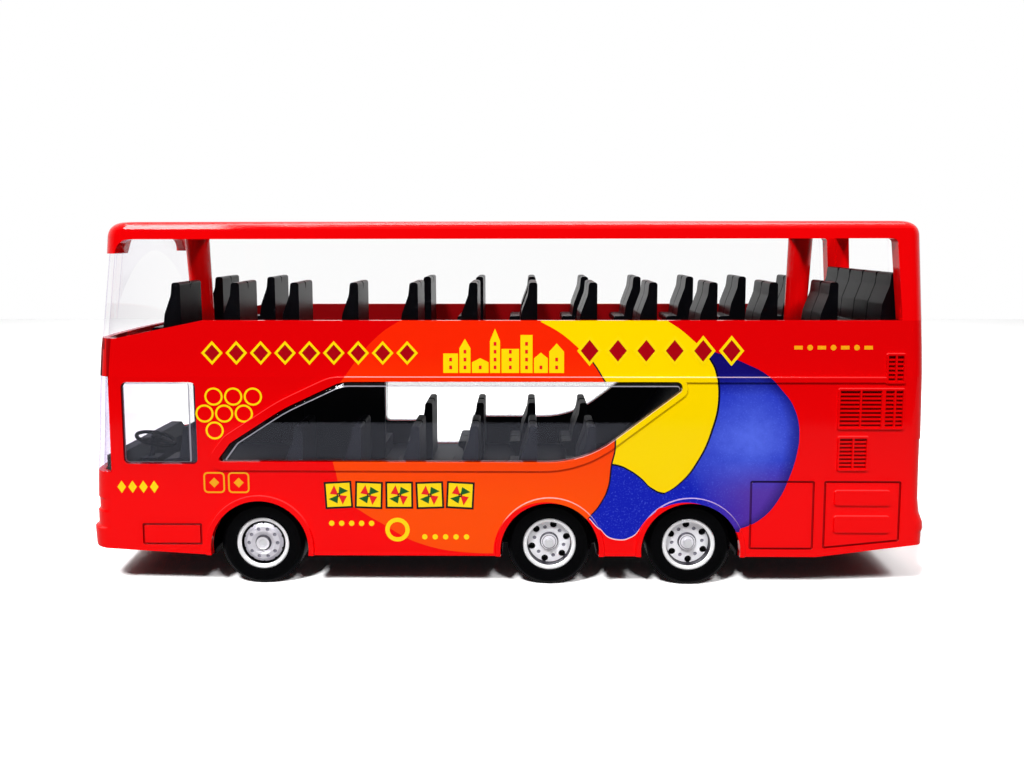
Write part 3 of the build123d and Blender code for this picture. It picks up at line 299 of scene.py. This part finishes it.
def body_paint():
    """Gloss enamel with flat inks over it: one smooth skin with clear, narrow reflections."""
    material, tree = new_material("printed_red_enamel")
    x, y, z = place_in_mm(tree)
    out = add(tree, "Math ABSOLUTE", y)

    # Where each field lies.
    orange_rear = curve_through(tree, z, ORANGE_REAR)
    yellow_rear = curve_through(tree, z, YELLOW_REAR)
    yellow_bottom = curve_through(tree, x, YELLOW_BOTTOM)
    blue_rear = curve_through(tree, z, BLUE_REAR)
    blue_bottom = curve_through(tree, x, BLUE_BOTTOM)
    clear = {name: add(tree, "Math GREATER_THAN", distance_from(tree, x, z, centre), ARCH_RADIUS)
             for name, centre in ARCH_CENTRES.items()}
    before_orange_rear = add(tree, "Math LESS_THAN", x, orange_rear)
    behind_orange = add(tree, "Math SUBTRACT", 1.0, before_orange_rear)
    orange = both(tree, add(tree, "Math GREATER_THAN", x, curve_through(tree, z, ORANGE_FRONT)), before_orange_rear,
                  clear["middle"], add(tree, "Math GREATER_THAN", z, SKIRT_Z))
    yellow = both(tree, behind_orange, add(tree, "Math LESS_THAN", x, yellow_rear),
                  add(tree, "Math GREATER_THAN", z, yellow_bottom))
    blue = both(tree, behind_orange, add(tree, "Math LESS_THAN", x, blue_rear),
                add(tree, "Math LESS_THAN", z, BLUE_TOP), add(tree, "Math GREATER_THAN", z, blue_bottom),
                clear["rear"], clear["middle"])

    # The red is lighter low down, as painted light bounced up from the paper, and the orange fades to red-orange
    # above the windows.
    height = add(tree, "MapRange", z, *RED_FADE_Z)
    red = add(tree, "Mix RGBA", height, RED_LIT_FROM_BELOW, RED)
    colour = add(tree, "Mix RGBA", orange, red, add(tree, "Mix RGBA", height, ORANGE, ORANGE_TOP))
    colour = add(tree, "Mix RGBA", blue, colour, blue_ink(tree, x, z, blue_rear))
    colour = add(tree, "Mix RGBA", yellow, colour, YELLOW)

    # A thin dark line keeps the yellow and the orange apart from the blue, and a pink one its foot.
    rear_line = both(tree, line_along(tree, x, yellow_rear, REAR_LINE), blue,
                     add(tree, "Math GREATER_THAN", z, REAR_LINE_FOOT_Z))
    low_line = both(tree, line_along(tree, z, yellow_bottom, LOW_LINE), blue,
                    add(tree, "Math LESS_THAN", x, LOW_LINE_END_X))
    colour = add(tree, "Mix RGBA", add(tree, "Math MAXIMUM", rear_line, low_line), colour, OUTLINE)
    foot = add(tree, "Math LESS_THAN", add(tree, "Math SUBTRACT", z, blue_bottom), PINK_LINE)
    foot = both(tree, foot, blue, add(tree, "Math LESS_THAN", x, PINK_LINE_END_X))
    colour = add(tree, "Mix RGBA", foot, colour, PINK)
    front_line = add(tree, "Math LESS_THAN", add(tree, "Math SUBTRACT", x, orange_rear), FRONT_LINE)
    colour = add(tree, "Mix RGBA", both(tree, front_line, blue), colour, OUTLINE)
    colour = add(tree, "Mix RGBA", add(tree, "Math GREATER_THAN", out, PRINTED_Y), red, colour)

    # Painted highlights on the upper slopes of the raised lips and bars, as if they caught light from above.
    rise = add(tree, "SeparateXYZ", add(tree, "TexCoord", out="Normal"), out="Z")
    highlit = both(tree, add(tree, "MapRange", rise, *HIGHLIGHT_RISE[:2]), add(tree, "Math LESS_THAN", rise, HIGHLIGHT_RISE[2]),
                add(tree, "Math GREATER_THAN", out, RAISED_Y), add(tree, "Math LESS_THAN", z, HIGHLIGHT_TOP_Z))
    share = add(tree, "Math MULTIPLY_ADD", add(tree, "Math MAXIMUM", orange, blue), HIGHLIGHT_ON_PRINT - HIGHLIGHT_ON_RED, HIGHLIGHT_ON_RED)
    colour = add(tree, "Mix RGBA", both(tree, highlit, share), colour, EDGE_HIGHLIGHT)

    # Seams, slots and the edges of openings lie in shade.
    lean = add(tree, "Math MULTIPLY", add(tree, "Math MAXIMUM", add(tree, "Math SUBTRACT", z, WAIST_Z), 0.0), -LEAN)
    depth = add(tree, "Math SUBTRACT", add(tree, "Math ADD", lean, SIDE_Y), out)
    shaded = both(tree, add(tree, "Math GREATER_THAN", depth, SHADE_DEPTHS[0]),
                  add(tree, "Math LESS_THAN", depth, SHADE_DEPTHS[1]), add(tree, "Math GREATER_THAN", x, SHADE_X[0]),
                  add(tree, "Math LESS_THAN", x, SHADE_X[1]), add(tree, "Math LESS_THAN", z, SHADE_TOP_Z))
    colour = add(tree, "Mix RGBA", both(tree, shaded, SHADE_SHARE), colour, SHADE)
    finish = {"Base Color": colour, "Roughness": 0.09, "Specular IOR Level": 0.08}
    return finish_material(material, add(tree, "BsdfPrincipled", inputs=finish))


dress(["body_shell"], body_paint())

# ---------------------------------------------------------------- inside of the casting
# The casting's inner faces get painted shade. Round the lower saloon they are nearly black behind the grey moulding,
# and round the upper deck a dull dark red.
INNER_Y = 23.45                 # the inner faces lie within this |Y| ...
INNER_X = 88.5                  # ... and this |X|
INNER_TOP_Z = 60.0
UPPER_DECK_Z = 50.5
LEVEL = 0.9                     # upward part of the normal past which a face is a ledge, and stays red
shell = part["body_shell"].data
# Painted shade: no gloss at all.
shell.materials.append(plain("painted_shade_inside", "100E14", 0.6, Specular_IOR_Level=0.05))
shell.materials.append(plain("painted_shade_inside_red", "8C0308", 0.5, Specular_IOR_Level=0.05))
# Inner faces get the painted shade: near black low down, dull red round the upper deck.
for face in shell.polygons:
    x, y, z = face.center / MM
    if abs(y) < INNER_Y and abs(x) < INNER_X and z < INNER_TOP_Z and abs(face.normal.z) < LEVEL:
        face.material_index = 1 if z < UPPER_DECK_Z else 2

# ---------------------------------------------------------------- printed ornaments
# Pad-printed ornaments in six inks: rows of diamonds, rings, dots and dashes, a row of plain roofs,
# framed squares and pinwheel tiles. Each ink is one thin layer that follows the side and its lean.
INK_DEPTH = 0.05                # the layers reach this far into the enamel
INK = 0.03                      # and stand this far out of it,
UNDER_INK = 0.02                # less where another ink lies over them
OVER_INK = 0.05                 # and more where they lie over another
BLADE_INK, HUB_INK = 0.04, 0.06         # in a tile the hub lies over the blades, and they over the ground
MERGE = 0.001                   # closes the seams of a mark
# Pad-printing ink: opaque, and a little less glossy than the enamel.
INK_COLOURS = {"yellow": "FFDC08", "dark_red": "A80410", "gold": "F7A814", "black": "0A0808",
               "green": "0B5A1E", "scarlet": "E81A1E"}

ROW_INPUTS = {"Layer": "Geometry", "Corners": "Int", "Width": "Float", "Height": "Float", "Turn": "Float",
              "Hole": "Float", "First X": "Float", "Z": "Float", "Step": "Float", "Count": "Int",
              "Thickness": "Float", "On the right": "Bool", "Ink": "Material"}


def row_of_marks():
    """The nodes that add one row of like marks to a layer of ink. A mark is an outline of a number of
    corners about its centre, with a hole as a share of its size, and sizes are in millimetres."""
    tree = bpy.data.node_groups.new("row_of_marks", "GeometryNodeTree")
    for name, kind in ROW_INPUTS.items():
        tree.interface.new_socket(name, in_out="INPUT", socket_type="NodeSocket" + kind)
    tree.interface.new_socket("Layer", in_out="OUTPUT", socket_type="NodeSocketGeometry")
    given = add(tree, "NodeGroupInput", out=None).outputs

    # A strip with one face per corner is bent round the centre, flat against the side.
    columns = add(tree, "Math ADD", given["Corners"], 1)
    strip = add(tree, "GeometryNodeMeshGrid", inputs={"Vertices X": columns, "Vertices Y": 2})
    along, across = add(tree, "SeparateXYZ", add(tree, "GeometryNodeInputPosition"), out=None).outputs[:2]
    angle = add(tree, "Math MULTIPLY_ADD", add(tree, "Math ADD", along, 0.5), 2 * pi, given["Turn"])
    reach = add(tree, "Math MULTIPLY", add(tree, "MapRange", across, -0.5, 0.5, given["Hole"]), 0.5)
    x = both(tree, add(tree, "Math COSINE", angle), reach, given["Width"])
    z = add(tree, "Math ADD", both(tree, add(tree, "Math SINE", angle), reach, given["Height"]), given["Z"])
    lean = add(tree, "Math MULTIPLY", add(tree, "Math MAXIMUM", add(tree, "Math SUBTRACT", z, WAIST_Z), 0.0), LEAN)
    y = add(tree, "Math ADD", lean, INK_DEPTH - SIDE_Y)
    place = add(tree, "CombineXYZ", x, y, z)
    flat = add(tree, "GeometryNodeSetPosition", inputs={"Geometry": strip, "Position": place})
    flat = add(tree, "GeometryNodeMergeByDistance", inputs={"Geometry": flat, "Distance": MERGE})

    # It gets its thickness outwards, and its back closes it.
    face_out = add(tree, "GeometryNodeFlipFaces", flat)
    height = add(tree, "Math ADD", given["Thickness"], INK_DEPTH)
    outwards = add(tree, "CombineXYZ", 0.0, -1.0, 0.0)
    front = add(tree, "GeometryNodeExtrudeMesh", inputs={"Mesh": face_out, "Offset": outwards,
                                                         "Offset Scale": height, "Individual": False})
    mark = add(tree, "GeometryNodeJoinGeometry", out=None)
    tree.links.new(front, mark.inputs[0])
    tree.links.new(flat, mark.inputs[0])
    left = add(tree, "GeometryNodeMergeByDistance", inputs={"Geometry": mark.outputs[0], "Distance": MERGE})

    # The right side has its mirror image.
    right = add(tree, "GeometryNodeTransform", inputs={"Geometry": left, "Scale": (1.0, -1.0, 1.0)})
    right = add(tree, "GeometryNodeFlipFaces", right)
    right = add(tree, "GeometryNodeSwitch", inputs={"Switch": given["On the right"], "True": right},
                input_type="GEOMETRY")
    pair = add(tree, "GeometryNodeJoinGeometry", out=None)
    tree.links.new(left, pair.inputs[0])
    tree.links.new(right, pair.inputs[0])

    first = add(tree, "CombineXYZ", given["First X"])
    step = add(tree, "CombineXYZ", given["Step"])
    points = add(tree, "GeometryNodeMeshLine", inputs={"Count": given["Count"], "Start Location": first,
                                                       "Offset": step}, mode="OFFSET")
    marks = add(tree, "GeometryNodeInstanceOnPoints", inputs={"Points": points, "Instance": pair.outputs[0]})
    marks = add(tree, "GeometryNodeTransform", inputs={"Geometry": marks, "Scale": (MM, MM, MM)})
    layer = add(tree, "GeometryNodeJoinGeometry", out=None)
    tree.links.new(given["Layer"], layer.inputs[0])
    tree.links.new(marks, layer.inputs[0])
    whole = add(tree, "GeometryNodeRealizeInstances", inputs={"Geometry": layer.outputs[0]})
    inked = add(tree, "GeometryNodeSetMaterial", inputs={"Geometry": whole, "Material": given["Ink"]})
    add(tree, "NodeGroupOutput", inked, out=None)
    return tree


# The rows of each ink. Rows that a door or a window replaces on the right are on the left alone.
rows = {ink: [] for ink in INK_COLOURS}


def row(ink, corners, size, first_x, z, step, count, turn=0.0, hole=0.0, height=INK, on_right=True):
    """Notes one row: size is each mark's width and height, and a hole is a share of it."""
    rows[ink].append({"Corners": corners, "Width": size[0], "Height": size[1], "Turn": radians(turn), "Hole": hole,
                      "First X": first_x, "Z": z, "Step": step, "Count": count, "Thickness": height,
                      "On the right": on_right})


# Framed diamonds: width, height, line, first X, Z, step and count.
DIAMOND_MITRE = 1.4             # a line takes more of a diamond's width, because its sides slope
for width, height, line, first_x, z, step, count in [(4.7, 5.2, 0.5, -63.2, 52.4, 5.3, 9),
                                                     (5.4, 6.6, 0.55, 18.6, 52.9, 6.1, 6)]:
    inner = 1 - DIAMOND_MITRE * 2 * line / width
    row("yellow", 4, (width, height), first_x, z, step, count, hole=inner)
    row("dark_red", 4, (inner * width, inner * height), first_x, z, step, count, height=UNDER_INK)
row("yellow", 4, (1.9, 2.8), -84.1, 22.7, 2.4, 4, on_right=False)

# Dashes and dots by turns, then rows of dots, and rings in a cluster that follows the window.
row("gold", 4, (1.8 * sqrt(2), 0.8 * sqrt(2)), 63.4, 53.6, 5.0, 4, turn=45)
row("gold", 10, (1.24, 1.24), 65.9, 53.6, 5.0, 3)
row("yellow", 10, (1.24, 1.24), -37.9, 14.6, 2.2, 5)
row("yellow", 10, (1.24, 1.24), -17.4, 11.6, 2.3, 5, on_right=False)
for first_x, z, count in [(-63.1, 35.35, 1), (-65.2, 39.1, 3), (-63.1, 42.85, 3)]:
    row("yellow", 20, (4.0, 4.0), first_x, z, 4.3, count, hole=0.79)
row("yellow", 24, (5.4, 5.4), -23.4, 13.2, 1.0, 1, hole=1.75 / 2.7, on_right=False)

# Shapes that don't repeat: outlines of X and Z, with the outline of a hole or none.
shapes = {ink: [] for ink in INK_COLOURS}


def plate(ink, outer, height, hole=None, on_right=True):
    shapes[ink].append((outer, hole, height, on_right))


def loop(centre, radius, count, turn=0.0):
    """A regular outline about a centre: count corners, turned by degrees."""
    angles = [radians(turn) + 2 * pi * index / count for index in range(count)]
    return [(centre[0] + radius * cos(a), centre[1] + radius * sin(a)) for a in angles]


def rounded_square(centre, half, corner):
    """A square outline, half its width and its corners' radius given."""
    points = []
    for dx, dz, start in ((1, 1, 0), (-1, 1, 90), (-1, -1, 180), (1, -1, 270)):
        points += [(centre[0] + dx * (half - corner) + corner * cos(radians(start + step)),
                    centre[1] + dz * (half - corner) + corner * sin(radians(start + step)))
                   for step in (0, 30, 60, 90)]
    return points


# Plain houses: X, width, height and roof. A pointed roof is the upper part of the height.
HOUSES = [(-13.0, 3.2, 4.2, "flat"), (-9.5, 2.4, 7.4, "gable"), (-6.8, 3.6, 3.2, "gable"), (-2.9, 2.2, 9.6, "gable"),
          (-0.4, 3.8, 5.2, "flat"), (3.7, 2.6, 8.2, "flat"), (6.6, 3.0, 4.4, "gable"), (9.9, 3.2, 6.4, "gable")]
HOUSE_FOOT_Z = 48.1
WALL_SHARE = 0.72               # of the height below a pointed roof
WINDOW = (0.6, 0.8)             # width and height
WINDOW_SILL = 0.8
STOREY = 1.7
for x, width, height, roof in HOUSES:
    eaves = height if roof == "flat" else height * WALL_SHARE
    ridge = [] if roof == "flat" else [(x + width / 2, HOUSE_FOOT_Z + height)]
    plate("yellow", [(x, HOUSE_FOOT_Z), (x + width, HOUSE_FOOT_Z), (x + width, HOUSE_FOOT_Z + eaves)] + ridge
          + [(x, HOUSE_FOOT_Z + eaves)], INK)
    for storey in range(int(eaves / STOREY)):
        x0, x1 = x + (width - WINDOW[0]) / 2, x + (width + WINDOW[0]) / 2
        z0 = HOUSE_FOOT_Z + WINDOW_SILL + STOREY * storey
        plate("scarlet", [(x0, z0), (x1, z0), (x1, z0 + WINDOW[1]), (x0, z0 + WINDOW[1])], OVER_INK)

# Two framed squares with a diamond each.
BADGE_X, BADGE_Z = (-63.6, -58.2), 23.7
BADGE_OUTSIDE, BADGE_INSIDE = (2.35, 0.9), (2.0, 0.6)
BADGE_DIAMOND = 1.1
for x in BADGE_X:
    centre = (x, BADGE_Z)
    plate("gold", rounded_square(centre, *BADGE_OUTSIDE), INK, rounded_square(centre, *BADGE_INSIDE))
    plate("gold", loop(centre, BADGE_DIAMOND, 4), INK)

# Pinwheel tiles, each a little askew. The middle door is in their way on the right.
TILE_Z = 21.0
FIRST_TILE_X = -36.3
TILE_STEP = 6.7
TILE_TILTS = (3, -2, 0, 2, -3)
TILE_RADII = (4.3, 3.7)         # to the corners of the black frame and of the yellow ground
BLADES = 4
BLADE_START = 20                # degrees, of the first blade
BLADE_SPREAD = 60.16            # between the two tips of a blade
BLADE_RADII = (2.35, 1.9)       # to its tips
HUB_RADII = (0.42, 0.2)
MIDDLE_DOOR_X = -27.4
for index, tilt in enumerate(TILE_TILTS):
    centre = (FIRST_TILE_X + TILE_STEP * index, TILE_Z)
    on_right = centre[0] < MIDDLE_DOOR_X
    edge, ground = [loop(centre, radius, 4, 45 + tilt) for radius in TILE_RADII]
    plate("black", edge, INK, ground, on_right)
    plate("yellow", ground, UNDER_INK, None, on_right)
    for blade in range(BLADES):
        start = 360 / BLADES * blade + tilt + BLADE_START
        tips = [loop(centre, radius, 1, start + turn)[0] for radius, turn in zip(BLADE_RADII, (0, BLADE_SPREAD))]
        plate("scarlet" if blade % 2 else "green", [centre] + tips, BLADE_INK, None, on_right)
    outer_hub, inner_hub = [loop(centre, radius, 8) for radius in HUB_RADII]
    plate("black", outer_hub, HUB_INK, inner_hub, on_right)


def add_plate(vertices, faces, outer, hole, height, side):
    """Adds one closed plate to a layer's vertices and faces. The left side is -1 and the right 1."""
    area = sum(outer[i - 1][0] * outer[i][1] - outer[i][0] * outer[i - 1][1] for i in range(len(outer)))
    if (area > 0) != (side < 0):
        outer, hole = outer[::-1], hole[::-1] if hole else None

    def ring(points, out):
        first = len(vertices)
        for x, z in points:
            y = SIDE_Y - LEAN * max(0.0, z - WAIST_Z) + out
            vertices.append((x * MM, side * y * MM, z * MM))
        return list(range(first, first + len(points)))

    def wall(first, second):
        for i in range(len(first)):
            j = (i + 1) % len(first)
            faces.append((first[i], first[j], second[j], second[i]))

    top, bottom = ring(outer, height), ring(outer, -INK_DEPTH)
    wall(bottom, top)
    if hole:
        hole_top, hole_bottom = ring(hole, height), ring(hole, -INK_DEPTH)
        wall(top, hole_top)
        wall(hole_top, hole_bottom)
        wall(hole_bottom, bottom)
    else:
        faces.append(tuple(top))
        faces.append(tuple(reversed(bottom)))


marks = row_of_marks()
socket_names = {item.name: item.identifier for item in marks.interface.items_tree if item.in_out == "INPUT"}
for ink, hex_colour in INK_COLOURS.items():
    vertices, faces = [], []
    for outer, hole, height, on_right in shapes[ink]:
        for side in (-1, 1) if on_right else (-1,):
            add_plate(vertices, faces, outer, hole, height, side)
    data = bpy.data.meshes.new("plates_" + ink)
    data.from_pydata(vertices, [], faces)
    ink_material = plain("ink_" + ink, hex_colour, 0.25, Specular_IOR_Level=0.22)
    layer = bpy.data.objects.new("print_" + ink, data)
    bpy.context.scene.collection.objects.link(layer)
    for values in rows[ink]:
        modifier = layer.modifiers.new("row", "NODES")
        modifier.node_group = marks
        for name, value in values.items():
            modifier[socket_names[name]] = value
        modifier[socket_names["Ink"]] = ink_material
    if rows[ink]:
        whole = layer.evaluated_get(bpy.context.evaluated_depsgraph_get())
        layer.data = bpy.data.meshes.new_from_object(whole)
        layer.data.materials.pop(index=0)       # the empty slot that the joined plates bring
        layer.modifiers.clear()
    else:
        layer.data.materials.append(ink_material)
    layer.data.name = "print_" + ink
    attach(layer, "body")

# ---------------------------------------------------------------- lamps of the bus
# The head lamps are clear and the tail lamps red polystyrene. Both are small moulded lenses that
# are pressed into pockets in the casting's ends.

# Clear moulded polystyrene: bright and glossy over the red behind it.
lamp_clear = plain("clear_lamp_lens", "E8E8EA", 0.12, Transmission_Weight=0.5)
# Polystyrene moulded in red: dark and glossy.
lamp_red = plain("red_lamp_lens", "8C0206", 0.15)
dress(["head_lamps"], lamp_clear)
dress(["tail_lamps"], lamp_red)

# ---------------------------------------------------------------- windows and panes
# The windows and the panes of the open deck are mouldings of clear polystyrene, about 1 mm thick.
# The side windows stand in their openings with a bevel round them.
BEVEL_NORMAL = 0.985            # |Y| of the normal below which a face is a bevel
ARRIS_Y = 24.61                 # the arris between bevel and face lies further out than this
EDGE_TINT = linear("B9A6CC")
# a painted highlight on the arris of a bevel, and its share
ARRIS_HIGHLIGHT = linear("9A98A4")
ARRIS_HIGHLIGHT_SHARE = 0.85
SHEEN = 0.024                   # of a clear face looked at squarely
GRAZING_SHEEN, GRAZING_POWER = 0.5, 5.0         # how much more at a grazing angle, and how late


def clear_plastic(name, edge_power, sheen, sheen_colour, bevel_shade_colour="", bevel_shade_share=0.0):
    """Polished moulding: seen straight through, with a mirror's sheen at its edges and a faint violet tint along
    them. The bevels get painted dark shade, and their arris a thin painted grey highlight line."""
    material, tree = new_material(name)
    facing = add(tree, "LayerWeight", 0.5, out="Facing")
    tint = add(tree, "Mix RGBA", add(tree, "Math POWER", facing, edge_power), linear("FFFFFF"), EDGE_TINT)
    open_air = add(tree, "BsdfTransparent", tint)
    mirror = add(tree, "Math MULTIPLY_ADD", add(tree, "Math POWER", facing, GRAZING_POWER), GRAZING_SHEEN, sheen)
    # The pane casts no shadow of its sheen.
    lit = add(tree, "Math SUBTRACT", 1.0, add(tree, "LightPath", out="Is Shadow Ray"))
    gloss = add(tree, "BsdfGlossy", inputs={"Color": linear(sheen_colour), "Roughness": 0.0})
    surface = add(tree, "MixShader", both(tree, mirror, lit), open_air, gloss)
    # The bevels get painted shade, and their arris a painted highlight line.
    if bevel_shade_share:
        normal = add(tree, "SeparateXYZ", add(tree, "TexCoord", out="Normal"), out="Y")
        bevel = add(tree, "Math LESS_THAN", add(tree, "Math ABSOLUTE", normal), BEVEL_NORMAL)
        arris = add(tree, "Math GREATER_THAN", add(tree, "Math ABSOLUTE", place_in_mm(tree)[1]), ARRIS_Y)
        colour = add(tree, "Mix RGBA", arris, linear(bevel_shade_colour), ARRIS_HIGHLIGHT)
        shade = add(tree, "BsdfPrincipled", inputs={"Base Color": colour, "Roughness": 0.1})
        share = add(tree, "Math MAXIMUM", add(tree, "Math MULTIPLY", arris, ARRIS_HIGHLIGHT_SHARE), bevel_shade_share)
        surface = add(tree, "MixShader", both(tree, bevel, share), surface, shade)
    return finish_material(material, surface)


dress(["upper_glazing"], clear_plastic("clear_polystyrene", 7.0, SHEEN / 3, "FFFFFF"))
dress(["windscreen"], clear_plastic("clear_polystyrene_windscreen", 2.5, SHEEN, "FFFFFF"))
# The bevels' painted shade: lavender-grey round the cab windows, near black round the long side windows.
dress(["driver_window", "door_window"],
      clear_plastic("clear_polystyrene_cab", 5.0, SHEEN, "E6EAFF", "4C4258", 0.4))
dress(["left_window", "right_window"],
      clear_plastic("clear_polystyrene_bevelled", 5.0, SHEEN, "E6EAFF", "050508", 0.45))

# ---------------------------------------------------------------- upper deck and roof frame
# The upper deck and its benches are black ABS mouldings. The roof frame is one red moulding that
# clips over the casting at the rear and stands on two posts from the deck.

# Black ABS from a fine mould: satin, with a soft light on its upright faces.
black_plastic = plain("black_seat_plastic", "050508", 0.3, Specular_IOR_Level=0.1)
# Red ABS from a polished mould: clear highlights along the rails.
red_plastic = plain("red_roof_plastic", "F20206", 0.08, Specular_IOR_Level=0.25)
dress(["upper_deck", "upper_seats_left", "upper_seats_right", "upper_rear_bench"], black_plastic)
dress(["roof_frame", "roof_posts"], red_plastic)

# ---------------------------------------------------------------- paper
# The toy stands on white paper that ends a little ahead of it. The paper is white to the eye,
# keeps the shadow below the toy, and is dimmer where it lights the toy or shows in its gloss.
PAPER = (-0.6, -0.193, 0.6, 0.6)        # X and Y of two corners
PAPER_SEEN = [1.62, 1.62, 1.62, 1.0]
PAPER_LIGHTING = [0.4, 0.4, 0.4, 1.0]
PAPER_REFLECTED = 0.85
WHITE = [1.0, 1.0, 1.0, 1.0]


def white_paper():
    """Matt paper: no gloss."""
    material, tree = new_material("white_paper")
    rays = add(tree, "LightPath", out=None).outputs
    seen = add(tree, "Math MAXIMUM", rays["Is Camera Ray"], rays["Is Transmission Ray"])
    sheet = add(tree, "BsdfDiffuse", add(tree, "Mix RGBA", seen, PAPER_LIGHTING, PAPER_SEEN))
    reflected = add(tree, "Emission", WHITE, PAPER_REFLECTED)
    material.cycles.emission_sampling = "NONE"
    surface = add(tree, "MixShader", rays["Is Glossy Ray"], sheet, reflected)
    return finish_material(material, surface)


x0, y0, x1, y1 = PAPER
paper_mesh = bpy.data.meshes.new("paper")
paper_mesh.from_pydata([(x0, y0, 0), (x1, y0, 0), (x1, y1, 0), (x0, y1, 0)], [], [(0, 1, 2, 3)])
paper_mesh.materials.append(white_paper())
paper = bpy.data.objects.new("paper", paper_mesh)
bpy.context.scene.collection.objects.link(paper)

# ---------------------------------------------------------------- room and lamps
# A white backdrop stands behind the toy. In its gloss it sees that backdrop and a pale ceiling,
# a dim room on the side of the camera, and a tall bright window at the front left.
BACKDROP = (-0.5, 0.3, 0.02, 1.0)       # Y of the direction from and to, brightness from and to
CEILING = (0.3, 0.8, 0.0, 0.8)          # Z of the direction from and to, brightness from and to
CEILING_LAMP = (0.87, 0.97, 0.0, 14.0)
DOME = (0.55, 0.85, 0.01, 0.35)         # soft light from above, which only lights the toy
WINDOW_X, WINDOW_HALF_WIDTH = -0.40, 0.07
WINDOW_Z, WINDOW_HALF_HEIGHT = 0.56, 0.3
WINDOW_BRIGHTNESS = 30.0

world = bpy.data.worlds.new("studio")
world.use_nodes = True
world.node_tree.nodes.clear()
sky = world.node_tree
direction = add(sky, "SeparateXYZ", add(sky, "TexCoord", out="Generated"), out=None).outputs


def near(value, middle, half):
    return add(sky, "Math LESS_THAN", add(sky, "Math ABSOLUTE", add(sky, "Math SUBTRACT", value, middle)), half)


window = both(sky, near(direction["X"], WINDOW_X, WINDOW_HALF_WIDTH),
              near(direction["Z"], WINDOW_Z, WINDOW_HALF_HEIGHT), add(sky, "Math LESS_THAN", direction["Y"], 0.0))
backdrop = add(sky, "MapRange", direction["Y"], *BACKDROP)
reflected = add(sky, "Math MAXIMUM", backdrop, add(sky, "MapRange", direction["Z"], *CEILING))
reflected = add(sky, "Math MULTIPLY_ADD", window, WINDOW_BRIGHTNESS, reflected)
reflected = add(sky, "Math ADD", reflected, add(sky, "MapRange", direction["Z"], *CEILING_LAMP))
rays = add(sky, "LightPath", out=None).outputs
seen = add(sky, "Math MAXIMUM", rays["Is Camera Ray"], rays["Is Transmission Ray"])
strength = add(sky, "Mix FLOAT", rays["Is Glossy Ray"], add(sky, "MapRange", direction["Z"], *DOME), reflected)
strength = add(sky, "Mix FLOAT", seen, strength, 1.0)
add(sky, "OutputWorld", add(sky, "Background", WHITE, strength), out=None)
bpy.context.scene.world = world

# Soft lamps, all turned to one point: name, place, width and height, watts.
AIM = Vector((0.0, 0.0, 0.03))
LAMPS = [("key_lamp", (-0.25, -0.57, 0.77), (0.14, 0.14), 7.9),
         ("fill_lamp", (0.30, -0.60, 0.77), (0.16, 0.16), 3.5),
         ("rear_lamp", (0.02, 0.60, 0.76), (0.20, 0.16), 1.3),
         ("left_lamp", (-0.52, 0.05, 0.85), (0.20, 0.20), 0.8),
         ("right_lamp", (0.52, 0.05, 0.85), (0.20, 0.20), 0.6)]
for name, place, size, watts in LAMPS:
    data = bpy.data.lights.new(name, "AREA")
    data.shape = "RECTANGLE"
    data.size, data.size_y = size
    data.energy = watts
    lamp = bpy.data.objects.new(name, data)
    bpy.context.scene.collection.objects.link(lamp)
    lamp.location = place
    lamp.rotation_euler = (AIM - Vector(place)).to_track_quat("-Z", "Y").to_euler()

# ---------------------------------------------------------------- camera
# The camera stands level with the top of the windows, square to the left side. Its picture is
# 1024 x 768, and its shift puts the horizon above the middle.
PICTURE = (1024, 768)
FOCAL = 860.0                   # in pixels, as all places in the picture are
PRINCIPAL = (512, 320)          # where the camera points before its shift
SIDEWAYS_VANISHING = (523.5, 237)       # where lines along +Y meet
CAMERA_PLACE = (0.00435, -0.2085, 0.07733)
SENSOR = 36.0

camera_data = bpy.data.cameras.new("camera")
camera_data.sensor_width = SENSOR
camera_data.lens = FOCAL / PICTURE[0] * SENSOR
camera_data.shift_y = -(PICTURE[1] / 2 - PRINCIPAL[1]) / PICTURE[0]
camera_data.clip_start = 0.01
camera = bpy.data.objects.new("camera", camera_data)
bpy.context.scene.collection.objects.link(camera)
# +Y, +Z and +X in the camera's own axes: right, up and forward.
depth = Vector((SIDEWAYS_VANISHING[0] - PRINCIPAL[0], PRINCIPAL[1] - SIDEWAYS_VANISHING[1], FOCAL)).normalized()
up = (Vector((0, 1, 0)) - depth * depth.y).normalized()
right = up.cross(depth)
camera.matrix_world = Matrix.Translation(CAMERA_PLACE) @ Matrix((
    (right.x, right.y, -right.z), (depth.x, depth.y, -depth.z), (up.x, up.y, -up.z))).to_4x4()

scene = bpy.context.scene
scene.camera = camera
scene.view_settings.view_transform = "Standard"
# Enough bounces for the many clear faces one behind another.
scene.cycles.max_bounces = 16
scene.cycles.transparent_max_bounces = 16
scene.cycles.transmission_bounces = 14
